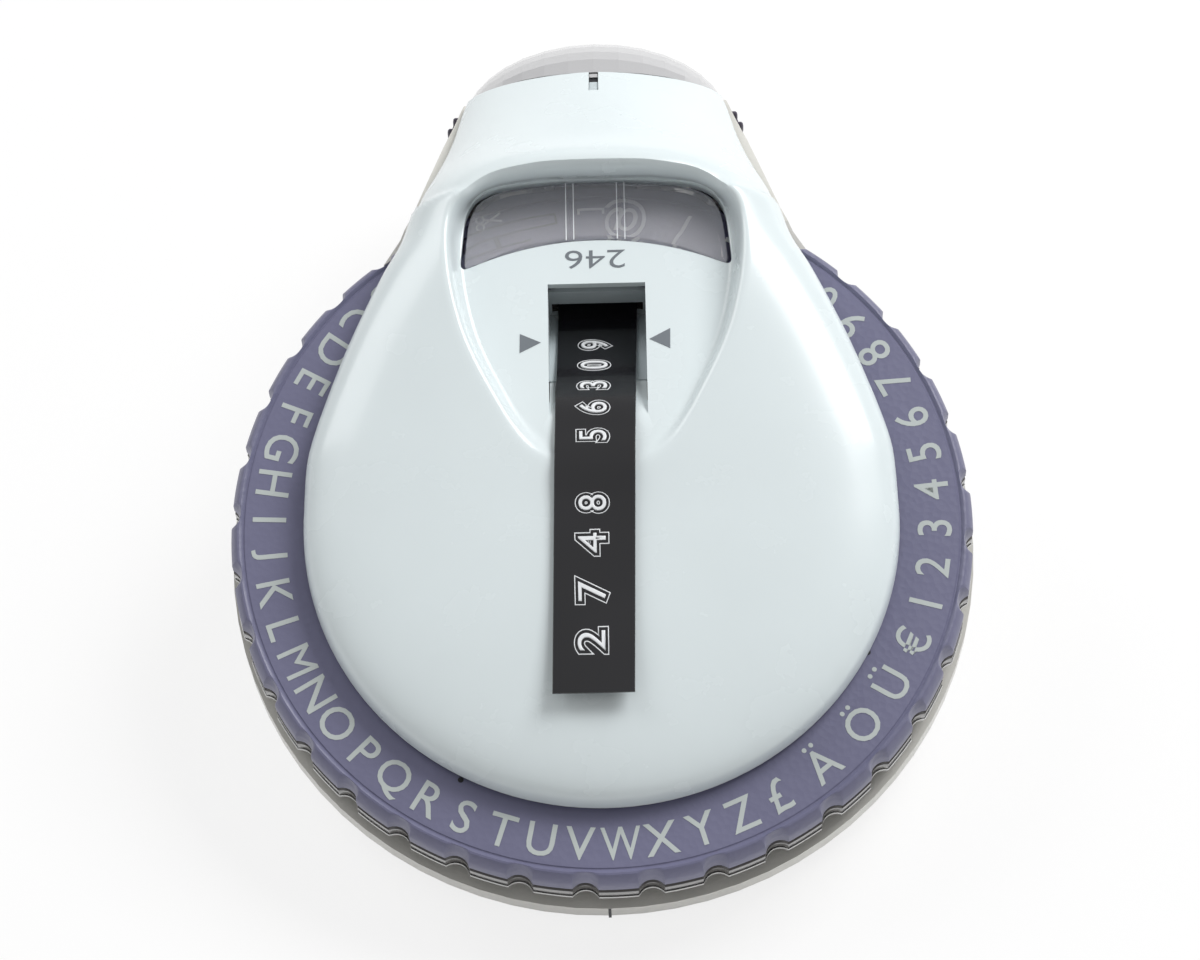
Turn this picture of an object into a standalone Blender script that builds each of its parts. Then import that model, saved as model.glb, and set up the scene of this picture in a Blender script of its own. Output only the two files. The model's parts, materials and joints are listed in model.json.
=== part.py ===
"""Embossing label maker: a palm-size desk press with a turning letter dial and a tape coil in its tail.

The dial, the cover and the hub that carries them pivot as one press head on the base. Pressing the head
down squeezes a letter into the tape. Everything is modelled in the dial's own frame: origin on the dial
axis at the letter face, +Z up out of the letters, +Y towards the tail. The dial frame leans forward by
TILT, so that the flat underside of the wedge-shaped base lies on the table at z = 0.
"""

import math

import bmesh
import bpy
from mathutils import Matrix, Vector

MM = 0.001

# Driving dimensions of the whole
CLEAR = 0.3 * MM
OVERRUN = 30 * MM
WALL = 2.0 * MM
FLOOR_T = 2.2 * MM

# Letter dial: two rings with the tape running between them
DIAL_R = 41.5 * MM
LETTER_BAND_W = 12.7 * MM
DIAL_BORE_R = DIAL_R - LETTER_BAND_W
UPPER_DIAL_H = 2.9 * MM
LOWER_DIAL_H = 2.8 * MM
DIAL_PLATE_T = 1.5 * MM
DIAL_TURN = math.radians(-3.5)
DIAL_SKIRT_W = 2.0 * MM
DIAL_BEVEL = 0.7 * MM
TAPE_SLIT = 0.7 * MM
NOTCHES = 36
STEPS_PER_NOTCH = 4
NOTCH_DEPTH = 0.9 * MM
TOOTH_DEPTH = 0.5 * MM

# Cover shell
DIAL_SHOWN_W = 8.25 * MM
COVER_R = DIAL_R - DIAL_SHOWN_W
COVER_LIFT = 0.5 * MM
TAIL_L = 17.7 * MM
SEAM_Y = DIAL_R + TAIL_L
CROWN_FRONT_Z = 7.0 * MM
CREST_BACK = 3.0 * MM
CREST_Y = DIAL_R - CREST_BACK
CREST_Z = 10.6 * MM
SEAM_Z = -5.4 * MM
PARTING_BACK = 2.9 * MM
PARTING_FRONT_Y = DIAL_R - PARTING_BACK
PARTING_FRONT_Z = -2.8 * MM
PARTING_REAR_Z = -13.2 * MM
COVER_DROP_L = 1.0 * MM
COVER_DROP_Y = PARTING_FRONT_Y - COVER_DROP_L
PARTING_GAP = 0.4 * MM
SHADOW_GAP = 0.5 * MM
FRONT_ROUND_POWER = 3.4
TAIL_ROUND_POWER = 2.0
# The shell's half-width along the tail: shares of SEAM_Y, then shares of COVER_R
COVER_SIDE_SHARES = (
    (0.0, 1.0), (0.12, 0.989), (0.18, 0.965), (0.28, 0.905), (0.38, 0.836), (0.50, 0.739),
    (0.565, 0.676), (0.62, 0.643), (0.69, 0.610), (0.77, 0.562), (0.84, 0.523), (0.90, 0.496),
    (0.95, 0.478), (1.0, 0.457),
)
# The base's half-width along the tail, in the same shares
BASE_SIDE_SHARES = (
    (0.34, 0.93), (0.48, 0.80), (0.58, 0.735), (0.63, 0.680), (0.69, 0.640), (0.80, 0.580),
    (0.88, 0.537), (0.94, 0.501), (1.0, 0.469),
)
# Rows of the shell's mesh, as shares of SEAM_Y
COVER_ROW_SHARES = (
    0.0, 0.09, 0.17, 0.25, 0.33, 0.41, 0.48, 0.54, 0.59, 0.635, 0.66, 0.69, 0.73, 0.79, 0.86, 0.93, 1.0,
)
# Columns of the shell's mesh, as shares of its half-width
COVER_COLUMN_SHARES = (0.0, 0.2, 0.4, 0.56, 0.7, 0.81, 0.89, 0.945, 0.98, 1.0)
COVER_FAN_STEPS = 24

# Sunk panel in the cover, with the window and the tape slot
PANEL_BACK = 8.5 * MM
PANEL_Y = DIAL_R - PANEL_BACK
PANEL_FRONT_L = 28.5 * MM
PANEL_REAR_L = 7.8 * MM
PANEL_WALL = 1.6 * MM
PANEL_DRAFT = 0.5 * MM
PANEL_HALF_W = 16.1 * MM
# The panel's edge: rows from PANEL_Y in shares of its length there, and half-widths in shares of PANEL_HALF_W
PANEL_EDGE = (
    (-1.0, 0.093), (-0.93, 0.391), (-0.828, 0.553), (-0.709, 0.671), (-0.474, 0.863), (-0.281, 0.957),
    (-0.088, 1.0), (0.321, 0.981), (0.718, 0.857), (0.923, 0.683), (1.0, 0.373),
)
PANEL_FRONT_Z = 7.2 * MM
PANEL_REAR_Z = 4.0 * MM
WINDOW_BACK = 8.3 * MM
WINDOW_FRONT_R = DIAL_R - WINDOW_BACK
WINDOW_REAR_L = 8.2 * MM
WINDOW_REAR_Y = PANEL_Y + WINDOW_REAR_L
WINDOW_HALF_ANGLE = math.radians(27.8)
WINDOW_TOP_HALF_W = 11.2 * MM
WINDOW_CORNER_L = 3.6 * MM
WINDOW_CORNER_Y = PANEL_Y + WINDOW_CORNER_L
LENS_T = 1.3 * MM

# Tape, its slot and its ramp
TAPE_W = 9.0 * MM
TAPE_T = 0.25 * MM
SLOT_SIDE_GAP = 1.0 * MM
SLOT_HALF_W = TAPE_W / 2 + SLOT_SIDE_GAP
SLOT_BACK = 1.2 * MM
SLOT_REAR_Y = DIAL_BORE_R - SLOT_BACK
SLOT_L = 16.8 * MM
SLOT_FRONT_Y = SLOT_REAR_Y - SLOT_L
CHUTE_WALL = 1.0 * MM
TAPE_END_Y = -22.3 * MM
TAPE_END_LIFT = 0.9 * MM
TAPE_LEAN = 0.022

# Base
BASE_PROUD = 0.4 * MM
BASE_R = DIAL_R + BASE_PROUD
BASE_GAP = 2.2 * MM
BASE_RIM_H = 2.6 * MM
BASE_FRONT_H = 3.4 * MM
DISH_TAPER = 0.30
TAIL_TAPER = 0.10
FOOT_R = 4.0 * MM
FOOT_PROUD = 0.8 * MM
FOOT_SPREAD = 22.0 * MM
REAR_FOOT_BACK = 13.2 * MM
REAR_FOOT_Y = SEAM_Y - REAR_FOOT_BACK
REAR_FOOT_X = 10.5 * MM

# Tape coil and its door
COIL_BACK = 8.2 * MM
COIL_Y = SEAM_Y - COIL_BACK
COIL_GAP = 0.76 * MM
COIL_FLOOR_GAP = 4.32 * MM
COIL_R = 13.2 * MM
CORE_R = 5.2 * MM
SPINDLE_R = 2.0 * MM
DOOR_PIN_OUT = 1.44 * MM
DOOR_HALF_W = 15.2 * MM
DOOR_CROWN = 9.5 * MM
DOOR_CROWN_HALF_W = 15.7 * MM
DOOR_PIN_R = 1.0 * MM
KNUCKLE_IN_X = 3.0 * MM
KNUCKLE_L = 4.0 * MM
NOTCH_HALF_W = 0.55 * MM
NOTCH_L = 4.0 * MM

# Feed rollers and their frame
ROLLER_GAP = 3.7 * MM
ROLLER_Y = DIAL_R + ROLLER_GAP
FEED_R = 2.8 * MM
PINCH_R = 2.6 * MM
SHAFT_R = 1.0 * MM
RATCHET_R = 3.8 * MM
RATCHET_TEETH = 12
FRAME_GAUGE = 1.2 * MM
FRAME_HALF_W = 6.0 * MM
NIP_GAP = 0.1 * MM

# Press hinge
PRESS_PIN_BACK = 1.8 * MM
PRESS_Y = ROLLER_Y + PRESS_PIN_BACK
PRESS_Z = -14.0 * MM
PRESS_PIN_R = 1.5 * MM
EAR_T = 2.0 * MM
EAR_R = 3.4 * MM
EAR_X = 13.0 * MM

# Hub, retaining ring and the parts that emboss
HUB_TOP_Z = 1.2 * MM
HUB_T = 2.0 * MM
RETAINER_LAP = 1.1 * MM
RETAINER_R = DIAL_BORE_R + RETAINER_LAP
RETAINER_W = 8.9 * MM
RETAINER_BORE_R = RETAINER_R - RETAINER_W
RETAINER_T = 1.2 * MM
ANVIL_OUT = 3.2 * MM
ANVIL_Y = DIAL_BORE_R + ANVIL_OUT
ANVIL_L = 3.2 * MM
ANVIL_W = 7.0 * MM
ANVIL_H = 5.0 * MM
ANVIL_GAP = 0.7 * MM
STRIKE_T = 1.5 * MM
SCREW_RING_IN = 4.8 * MM
SCREW_RING_R = DIAL_BORE_R - SCREW_RING_IN
SCREW_R = 1.1 * MM
SCREW_HEAD_R = 2.1 * MM
SCREW_HEAD_T = 1.2 * MM
SCREW_ANGLES = (math.radians(200.0), math.radians(340.0), math.radians(250.0))
PINION_R = 3.6 * MM
PINION_TEETH = 9
STOP_R = 1.5 * MM
STOP_HEAD_R = 3.8 * MM
SPRING_R = 4.0 * MM
SPRING_WIRE_R = 0.45 * MM
SPRING_TURNS = 6
SPRING_Y = -8.0 * MM
BLADE_T = 0.5 * MM
BLADE_ANGLE = math.radians(112.0)

# Latch buttons in the sides of the tail
LATCH_BACK = 3.8 * MM
LATCH_Y = SEAM_Y - LATCH_BACK
LATCH_L = 5.6 * MM
LATCH_H = 7.0 * MM
LATCH_T = 2.4 * MM
LATCH_DROP = 3.0 * MM
RIB_PROUD = 0.7 * MM
RIB_W = 1.3 * MM
RIBS = 2

FINISHES = {
    "pale_blue_plastic": ((0.66, 0.73, 0.75), 0.25, 0.0, 1.0),
    "warm_grey_plastic": ((0.68, 0.67, 0.64), 0.35, 0.0, 1.0),
    "purple_plastic": ((0.16, 0.16, 0.28), 0.5, 0.0, 1.0),
    "smoked_plastic": ((0.10, 0.09, 0.09), 0.3, 0.0, 1.0),
    "clear_lens": ((0.55, 0.56, 0.62), 0.1, 0.0, 0.4),
    "milky_door_plastic": ((0.60, 0.60, 0.62), 0.3, 0.0, 1.0),
    "black_tape": ((0.02, 0.02, 0.02), 0.2, 0.0, 1.0),
    "dark_plastic": ((0.06, 0.06, 0.08), 0.5, 0.0, 1.0),
    "natural_plastic": ((0.72, 0.72, 0.68), 0.4, 0.0, 1.0),
    "rubber": ((0.03, 0.03, 0.03), 0.8, 0.0, 1.0),
    "steel": ((0.55, 0.55, 0.56), 0.3, 1.0, 1.0),
}

# Heights that follow from the sizes above
LOWER_DIAL_TOP = -UPPER_DIAL_H - TAPE_SLIT
DIAL_BOTTOM = LOWER_DIAL_TOP - LOWER_DIAL_H
BASE_TOP = DIAL_BOTTOM - BASE_GAP
UNDERSIDE_FRONT = BASE_TOP - BASE_FRONT_H
TAPE_Z = -UPPER_DIAL_H - TAPE_SLIT / 2
HUB_R = DIAL_BORE_R - CLEAR
FEED_Z = TAPE_Z - TAPE_T / 2 - NIP_GAP - FEED_R
COIL_Z = FEED_Z - math.sqrt((COIL_R + FEED_R + COIL_GAP) ** 2 - (COIL_Y - ROLLER_Y) ** 2)

# The base slopes from its low front to where it clears the coil: this is the tilt of the dial on the table
TILT = math.atan((UNDERSIDE_FRONT - COIL_Z + COIL_R + COIL_FLOOR_GAP) / (COIL_Y + BASE_R))


def underside(y):
    """Height of the base's flat underside, which lies level on the table."""
    return UNDERSIDE_FRONT - (y + BASE_R) * math.tan(TILT)


def parting(y):
    """Height of the line where the cover meets the base along the tail."""
    share = (y - PARTING_FRONT_Y) / (SEAM_Y - PARTING_FRONT_Y)
    return PARTING_FRONT_Z + (PARTING_REAR_Z - PARTING_FRONT_Z) * share


def smooth_value(table, at):
    """A smooth curve through the table's points, by cubic Hermite spans."""
    if at <= table[0][0]:
        return table[0][1]
    if at >= table[-1][0]:
        return table[-1][1]
    span = max(i for i in range(len(table) - 1) if table[i][0] <= at)
    (a, low), (b, high) = table[span], table[span + 1]

    def slope(i):
        before, after = max(i - 1, 0), min(i + 1, len(table) - 1)
        return (table[after][1] - table[before][1]) / (table[after][0] - table[before][0])

    width = b - a
    t = (at - a) / width
    rise = slope(span) * width * (t ** 3 - 2 * t ** 2 + t) + slope(span + 1) * width * (t ** 3 - t ** 2)
    return low * (2 * t ** 3 - 3 * t ** 2 + 1) + high * (3 * t ** 2 - 2 * t ** 3) + rise


def smooth_step(value):
    value = min(max(value, 0.0), 1.0)
    return value * value * (3 - 2 * value)


def cover_half_width(y):
    return COVER_R * smooth_value(COVER_SIDE_SHARES, y / SEAM_Y)


def base_half_width(y):
    return COVER_R * smooth_value(BASE_SIDE_SHARES, y / SEAM_Y)


def crown(y):
    """Height of the cover along its centre line, without the sunk panel."""
    if y < 0:
        return CROWN_FRONT_Z + (CREST_Z - CROWN_FRONT_Z) / CREST_Y * y / 2
    table = (
        (0.0, CROWN_FRONT_Z),
        (CREST_Y / 2, (CROWN_FRONT_Z + CREST_Z) / 2 - (CREST_Z - CROWN_FRONT_Z) / 10),
        (CREST_Y - PANEL_REAR_L / 2, CREST_Z - (CREST_Z - CROWN_FRONT_Z) / 9),
        (CREST_Y, CREST_Z),
        (CREST_Y + (SEAM_Y - CREST_Y) / 6, CREST_Z + (SEAM_Z - CREST_Z) / 11),
        (CREST_Y + (SEAM_Y - CREST_Y) / 3, CREST_Z + (SEAM_Z - CREST_Z) * 2 / 7),
        (SEAM_Y, SEAM_Z),
    )
    return smooth_value(table, y)


def cover_edge(y):
    """Height of the cover's lower edge: over the dial in front, down to the parting line at the tail."""
    drop = smooth_step((y - COVER_DROP_Y) / (PARTING_FRONT_Y - COVER_DROP_Y))
    return COVER_LIFT + (parting(max(y, PARTING_FRONT_Y)) - COVER_LIFT) * drop


def panel_floor(y):
    return PANEL_REAR_Z + (PANEL_FRONT_Z - PANEL_REAR_Z) * (PANEL_Y - y) / PANEL_FRONT_L


def panel_outline(grow):
    """The panel's edge, moved outwards by grow."""
    edge = []
    for row, share in PANEL_EDGE:
        length = PANEL_FRONT_L if row < 0 else PANEL_REAR_L
        edge.append((share * PANEL_HALF_W, PANEL_Y + row * length))
    right = []
    for i, (x, y) in enumerate(edge):
        before, after = edge[max(i - 1, 0)], edge[min(i + 1, len(edge) - 1)]
        along = Vector((after[0] - before[0], after[1] - before[1])).normalized()
        right.append((x + grow * along.y, y - grow * along.x))
    return right + [(-x, y) for x, y in reversed(right)]


def cover_height(y, edge_share, inset):
    """Height of the cover's outer face, or of its inner face when inset is the wall."""
    blend = smooth_step((y - PANEL_Y / 2) / (SEAM_Y - PANEL_Y / 2))
    power = FRONT_ROUND_POWER + (TAIL_ROUND_POWER - FRONT_ROUND_POWER) * blend
    rounding = max(1 - abs(edge_share) ** power, 0.0) ** (1 / power)
    edge = cover_edge(y)
    return edge + (crown(y) - inset - edge) * rounding


# Places of the inner pieces, which follow from the curves above
DOOR_PIN_Y = SEAM_Y + 2 * CLEAR
DOOR_PIN_Z = underside(SEAM_Y) + FLOOR_T + CLEAR
KNUCKLE_R = DOOR_PIN_R + 3 * CLEAR
DOOR_R = math.hypot(DOOR_PIN_Y - COIL_Y, DOOR_PIN_Z - COIL_Z) - DOOR_PIN_OUT
PRESS_PIN_IN = EAR_X - EAR_T
PRESS_PIN_OUT = base_half_width(PRESS_Y) - WALL - CLEAR
SEAT_TOP = underside(SPRING_Y) + 2 * FLOOR_T
POST_TOP = DIAL_BOTTOM - BASE_GAP
ANVIL_TOP = DIAL_BOTTOM - ANVIL_GAP + CLEAR
TOWER_TOP = ANVIL_TOP - ANVIL_H - CLEAR
HUB_BORE_R = STOP_R + 3 * CLEAR
DIE_OUT_R = ANVIL_Y + ANVIL_L / 2
PINION_Y = -(DIAL_BORE_R - PINION_R - CLEAR)
RETAINER_TOP = DIAL_BOTTOM - CLEAR
PINCH_Z = TAPE_Z + TAPE_T / 2 + NIP_GAP + PINCH_R


def clear_scene():
    for thing in list(bpy.data.objects):
        bpy.data.objects.remove(thing, do_unlink=True)


def finish_of(name):
    """The Principled material of this name, made once."""
    known = bpy.data.materials.get(name)
    if known:
        return known
    colour, roughness, metallic, alpha = FINISHES[name]
    material = bpy.data.materials.new(name)
    material.use_nodes = True
    shader = material.node_tree.nodes["Principled BSDF"]
    shader.inputs["Base Color"].default_value = (*colour, 1.0)
    shader.inputs["Roughness"].default_value = roughness
    shader.inputs["Metallic"].default_value = metallic
    shader.inputs["Alpha"].default_value = alpha
    return material


class Axis:
    """An empty in the dial frame. Pieces hung on it keep their points in the dial frame."""

    def __init__(self, name, place=(0, 0, 0), carrier=None):
        self.place = Vector(place)
        self.empty = bpy.data.objects.new(name, None)
        self.empty.empty_display_size = WALL
        bpy.context.collection.objects.link(self.empty)
        if carrier:
            self.empty.parent = carrier.empty
            self.empty.location = self.place - carrier.place

    def hang(self, piece):
        piece.parent = self.empty
        piece.location = -self.place
        return piece


def piece_of(name, points, faces, finish, axis):
    """A closed mesh object from points in the dial frame."""
    mesh = bpy.data.meshes.new(name)
    mesh.from_pydata([tuple(point) for point in points], [], faces)
    work = bmesh.new()
    work.from_mesh(mesh)
    if finish == "pale_blue_plastic":
        bmesh.ops.triangulate(work, faces=work.faces)
    bmesh.ops.recalc_face_normals(work, faces=work.faces)
    work.to_mesh(mesh)
    work.free()
    mesh.shade_smooth()
    mesh.set_sharp_from_angle(angle=math.radians(35))
    piece = bpy.data.objects.new(name, mesh)
    bpy.context.collection.objects.link(piece)
    if finish:
        mesh.materials.append(finish_of(finish))
    return axis.hang(piece)


def stacked(levels):
    """Points and faces of a solid lofted through outlines of equal length, capped at both ends."""
    count = len(levels[0])
    points = [point for level in levels for point in level]
    faces = [tuple(range(count)), tuple(range(len(points) - count, len(points)))]
    for k in range(len(levels) - 1):
        for i in range(count):
            j = (i + 1) % count
            faces.append((k * count + i, k * count + j, (k + 1) * count + j, (k + 1) * count + i))
    return points, faces


def upright(outline, low, high):
    """A prism of an XY outline between two heights."""
    return stacked([[(x, y, low) for x, y in outline], [(x, y, high) for x, y in outline]])


def crosswise(outline, left, right):
    """A prism of a YZ outline between two X positions."""
    return stacked([[(left, y, z) for y, z in outline], [(right, y, z) for y, z in outline]])


def box(x0, x1, y0, y1, z0, z1):
    return upright([(x0, y0), (x1, y0), (x1, y1), (x0, y1)], z0, z1)


def circle(radius, steps, y=0.0, x=0.0):
    turn = 2 * math.pi / steps
    return [(x + radius * math.cos(i * turn), y + radius * math.sin(i * turn)) for i in range(steps)]


def turned(profile, steps, centre=(0.0, 0.0)):
    """A ring from a closed profile of (radius, height) points, none of them on the axis."""
    count = len(profile)
    points = []
    for i in range(steps):
        angle = 2 * math.pi * i / steps
        for radius, z in profile:
            points.append((centre[0] + radius * math.cos(angle), centre[1] + radius * math.sin(angle), z))
    faces = []
    for i in range(steps):
        j = (i + 1) % steps
        for k in range(count):
            m = (k + 1) % count
            faces.append((i * count + k, j * count + k, j * count + m, i * count + m))
    return points, faces


def sideways(shape, y, z):
    """Turns a shape made about the Z axis onto an X axis through (y, z)."""
    points, faces = shape
    return [(p[2], y + p[0], z + p[1]) for p in points], faces


def rod(radius, low, high, steps=16):
    return upright(circle(radius, steps), low, high)


def toothed(tip_r, depth, teeth, low, high):
    """A gear blank with pointed teeth."""
    outline = []
    for i in range(2 * teeth):
        radius = tip_r - depth * (i % 2)
        angle = math.pi * i / teeth
        outline.append((radius * math.cos(angle), radius * math.sin(angle)))
    return upright(outline, low, high)


def coil_wire(radius, wire_r, turns, low, high, centre, sides=6, steps=12):
    """A compression spring: one unbroken round wire on a helix."""
    rings = []
    total = turns * steps
    for i in range(total + 1):
        angle = 2 * math.pi * i / steps
        z = low + wire_r + (high - low - 2 * wire_r) * i / total
        ring = []
        for s in range(sides):
            lean = 2 * math.pi * s / sides
            r = radius - wire_r + wire_r * math.cos(lean)
            ring.append((centre[0] + r * math.cos(angle), centre[1] + r * math.sin(angle), z + wire_r * math.sin(lean)))
        rings.append(ring)
    return stacked(rings)


def boolean(piece, helper, operation):
    modifier = piece.modifiers.new(operation.lower() + " " + helper.name, "BOOLEAN")
    modifier.operation = operation
    modifier.object = helper
    modifier.solver = "EXACT"
    helper.hide_render = True
    helper.display_type = "WIRE"
    return piece


def cut(piece, shape, axis):
    helper = piece_of("cutter of " + piece.name, *shape, None, axis)
    return boolean(piece, helper, "DIFFERENCE")


def join(piece, shape, axis):
    helper = piece_of("addition to " + piece.name, *shape, None, axis)
    return boolean(piece, helper, "UNION")


def tapered_circle(radius, z, steps=72):
    return [(x, y, z) for x, y in circle(radius, steps)]


def dish(inset):
    """The round front of the base: an upright rim, then a wall that tapers down to the table."""
    rim_low = BASE_TOP - BASE_RIM_H
    depth = BASE_TOP - underside(BASE_R) + FLOOR_T
    levels = [
        tapered_circle(BASE_R - DISH_TAPER * depth - inset, BASE_TOP - depth),
        tapered_circle(BASE_R - inset, rim_low),
        tapered_circle(BASE_R - inset, BASE_TOP + (OVERRUN if inset else 0)),
    ]
    return stacked(levels)


def tail_outline(inset, narrowing, rear_y):
    shares = [row for row, _ in BASE_SIDE_SHARES]
    rows = [share * SEAM_Y for share in shares[:-1]] + [rear_y]
    right = [(base_half_width(min(y, SEAM_Y)) - inset - narrowing, y) for y in rows]
    return right + [(-x, y) for x, y in reversed(right)]


def tail(inset, rear_y, top):
    """The rear of the base: side walls with a little draft, between the dial and the door."""
    levels = []
    for z in (underside(SEAM_Y) - FLOOR_T, PARTING_REAR_Z, top):
        narrowing = TAIL_TAPER * max(PARTING_REAR_Z - z, 0)
        levels.append([(x, y, z) for x, y in tail_outline(inset, narrowing, rear_y)])
    return stacked(levels)


def below_plane(lift):
    """Everything under the base's underside, or under its floor when lift is the floor's thickness."""
    front, rear = -BASE_R - OVERRUN, SEAM_Y + OVERRUN
    depth = underside(rear) - OVERRUN
    outline = [(front, underside(front) + lift), (rear, underside(rear) + lift), (rear, depth), (front, depth)]
    return crosswise(outline, -BASE_R - OVERRUN, BASE_R + OVERRUN)


def above_parting(gap, shadow):
    """Everything over the base's upper edge along the tail, which drops away towards the dial."""
    front, rear = -BASE_R - OVERRUN, SEAM_Y + OVERRUN
    hinge = parting(PRESS_Y) - gap
    low = parting(PARTING_FRONT_Y) - gap - shadow
    outline = [
        (front, low), (PARTING_FRONT_Y, low), (PRESS_Y, hinge), (rear, parting(rear) - gap),
        (rear, OVERRUN), (front, OVERRUN),
    ]
    return crosswise(outline, -BASE_R - OVERRUN, BASE_R + OVERRUN)


def make_base(axis):
    base = piece_of("base_shell", *dish(0), "warm_grey_plastic", axis)
    join(base, tail(0, SEAM_Y, OVERRUN / 2), axis)
    hollow = piece_of("hollow of the base", *dish(WALL), None, axis)
    hollow.hide_render = True
    hollow.display_type = "WIRE"
    join(hollow, tail(WALL, SEAM_Y + OVERRUN, OVERRUN), axis)
    cut(hollow, below_plane(FLOOR_T), axis)
    cut(base, below_plane(0), axis)
    cut(base, above_parting(PARTING_GAP, SHADOW_GAP), axis)
    dial_room = upright(circle(DIAL_R + 2 * CLEAR, 96), BASE_TOP, OVERRUN)
    cut(base, dial_room, axis)
    boolean(base, hollow, "DIFFERENCE")
    deep = underside(SEAM_Y)
    post = upright(circle(2 * STOP_R + CLEAR, 20), deep, POST_TOP)
    seat = upright(circle(SPRING_R + CLEAR, 20, SPRING_Y), deep, SEAT_TOP)
    half = ANVIL_W / 2 + CLEAR
    tower = box(-half, half, ANVIL_Y - ANVIL_L, ANVIL_Y + ANVIL_L, deep, TOWER_TOP)
    extras = piece_of("posts of the base", *post, None, axis)
    extras.hide_render = True
    extras.display_type = "WIRE"
    join(extras, seat, axis)
    join(extras, tower, axis)
    for side in (-1, 1):
        low, high = sorted((side * (EAR_X + EAR_T / 2 + CLEAR), side * (base_half_width(PRESS_Y) - WALL / 2)))
        join(extras, sideways(rod(PRESS_PIN_R + WALL, low, high, 20), PRESS_Y, PRESS_Z), axis)
        start = KNUCKLE_IN_X + KNUCKLE_L + CLEAR
        low, high = sorted((side * start, side * (start + KNUCKLE_L)))
        join(extras, sideways(rod(KNUCKLE_R, low, high, 16), DOOR_PIN_Y, DOOR_PIN_Z), axis)
    cut(extras, below_plane(FLOOR_T / 2), axis)
    boolean(base, extras, "UNION")
    cut(base, upright(circle(STOP_R + CLEAR, 16), POST_TOP - 4 * STOP_R, OVERRUN), axis)
    reach = KNUCKLE_IN_X + KNUCKLE_L + CLEAR
    cut(base, box(-reach, reach, DOOR_PIN_Y - KNUCKLE_R - CLEAR, DOOR_PIN_Y + OVERRUN, deep - FLOOR_T, PRESS_Z), axis)
    for side in (-1, 1):
        low, high = sorted((side * PRESS_PIN_IN, side * (PRESS_PIN_OUT + CLEAR)))
        cut(base, sideways(rod(PRESS_PIN_R + CLEAR, low, high), PRESS_Y, PRESS_Z), axis)
        low, high = sorted((side * KNUCKLE_IN_X, side * (reach + KNUCKLE_L + CLEAR)))
        cut(base, sideways(rod(DOOR_PIN_R + CLEAR, low, high), DOOR_PIN_Y, DOOR_PIN_Z), axis)
        cut(base, latch_block(side, CLEAR, -LATCH_T, OVERRUN / 10), axis)
    return base


def on_tail_side(side, along, out, up):
    """A point on the tail's side wall: along the wall to the rear, out of it, and up from its middle."""
    lean = math.atan2(base_half_width(LATCH_Y - LATCH_L) - base_half_width(LATCH_Y), LATCH_L)
    z = parting(LATCH_Y) - LATCH_DROP - LATCH_H / 2 + up
    narrowing = TAIL_TAPER * max(PARTING_REAR_Z - z, 0)
    x = base_half_width(LATCH_Y) - narrowing + out * math.cos(lean) - along * math.sin(lean)
    return (side * x, LATCH_Y + along * math.cos(lean) + out * math.sin(lean), z)


def latch_block(side, spare, inner, outer, extra=0.0):
    """A block through the side wall at the latch button, grown by spare."""
    half_l, half_h = LATCH_L / 2 + spare + extra, LATCH_H / 2 + spare + extra
    corners = [(-half_l, -half_h), (half_l, -half_h), (half_l, half_h), (-half_l, half_h)]
    return stacked([[on_tail_side(side, a, out, u) for a, u in corners] for out in (inner, outer)])


def make_latch(side, name, axis):
    back = -WALL - CLEAR
    latch = piece_of(name, *latch_block(side, 0, back - 2 * CLEAR, 0), "dark_plastic", axis)
    join(latch, latch_block(side, 0, back - WALL / 2, back - CLEAR, WALL / 2), axis)
    pitch = LATCH_L / (RIBS + 0.5)
    for i in range(RIBS):
        middle = (i - (RIBS - 1) / 2) * pitch
        corners = [(middle - RIB_W / 2, -LATCH_H / 2), (middle + RIB_W / 2, -LATCH_H / 2),
                   (middle + RIB_W / 2, LATCH_H / 2), (middle - RIB_W / 2, LATCH_H / 2)]
        rib = stacked([[on_tail_side(side, a, out, u) for a, u in corners] for out in (-CLEAR, RIB_PROUD)])
        join(latch, rib, axis)
    return latch


def feet_places():
    front = -FOOT_SPREAD
    return (
        ("front_foot_left", -FOOT_SPREAD, front), ("front_foot_right", FOOT_SPREAD, front),
        ("rear_foot_left", -REAR_FOOT_X, REAR_FOOT_Y), ("rear_foot_right", REAR_FOOT_X, REAR_FOOT_Y),
    )


def foot_shape(x, y, radius, low, high):
    """A disc that lies along the slanted underside."""
    levels = []
    for lift in (low, high):
        levels.append([(px, py, underside(py) + lift) for px, py in circle(radius, 20, y, x)])
    return stacked(levels)


def ramp(y):
    """Height of the tape ramp, which climbs from under the panel to its face."""
    rise = (panel_floor(SLOT_FRONT_Y) - TAPE_Z + TAPE_SLIT) / (SLOT_REAR_Y - SLOT_FRONT_Y)
    return TAPE_Z - TAPE_SLIT + (SLOT_REAR_Y - y) * rise


def window_outline(inset):
    radius = WINDOW_FRONT_R + inset
    shrink = 1 - inset / (WINDOW_FRONT_R * math.sin(WINDOW_HALF_ANGLE) / 2)
    arc = []
    for i in range(13):
        angle = math.pi / 2 + WINDOW_HALF_ANGLE * (i / 6 - 1)
        arc.append((shrink * radius * math.cos(angle), radius * math.sin(angle)))
    top = []
    for i in range(9):
        across = WINDOW_TOP_HALF_W * shrink * (i / 4 - 1)
        sag = (i / 4 - 1) ** 2 * (WINDOW_REAR_Y - CREST_Y) / 3
        top.append((across, WINDOW_REAR_Y - sag - inset))
    side_x = abs(arc[0][0]) - LENS_T / 2
    corner = [(side_x, WINDOW_CORNER_Y - inset)]
    return arc + [(-x, y) for x, y in corner] + top + corner


def on_panel(outline, low, high):
    """A prism whose faces follow the slanted floor of the sunk panel."""
    return stacked([[(x, y, panel_floor(y) + lift) for x, y in outline] for lift in (low, high)])


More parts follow.
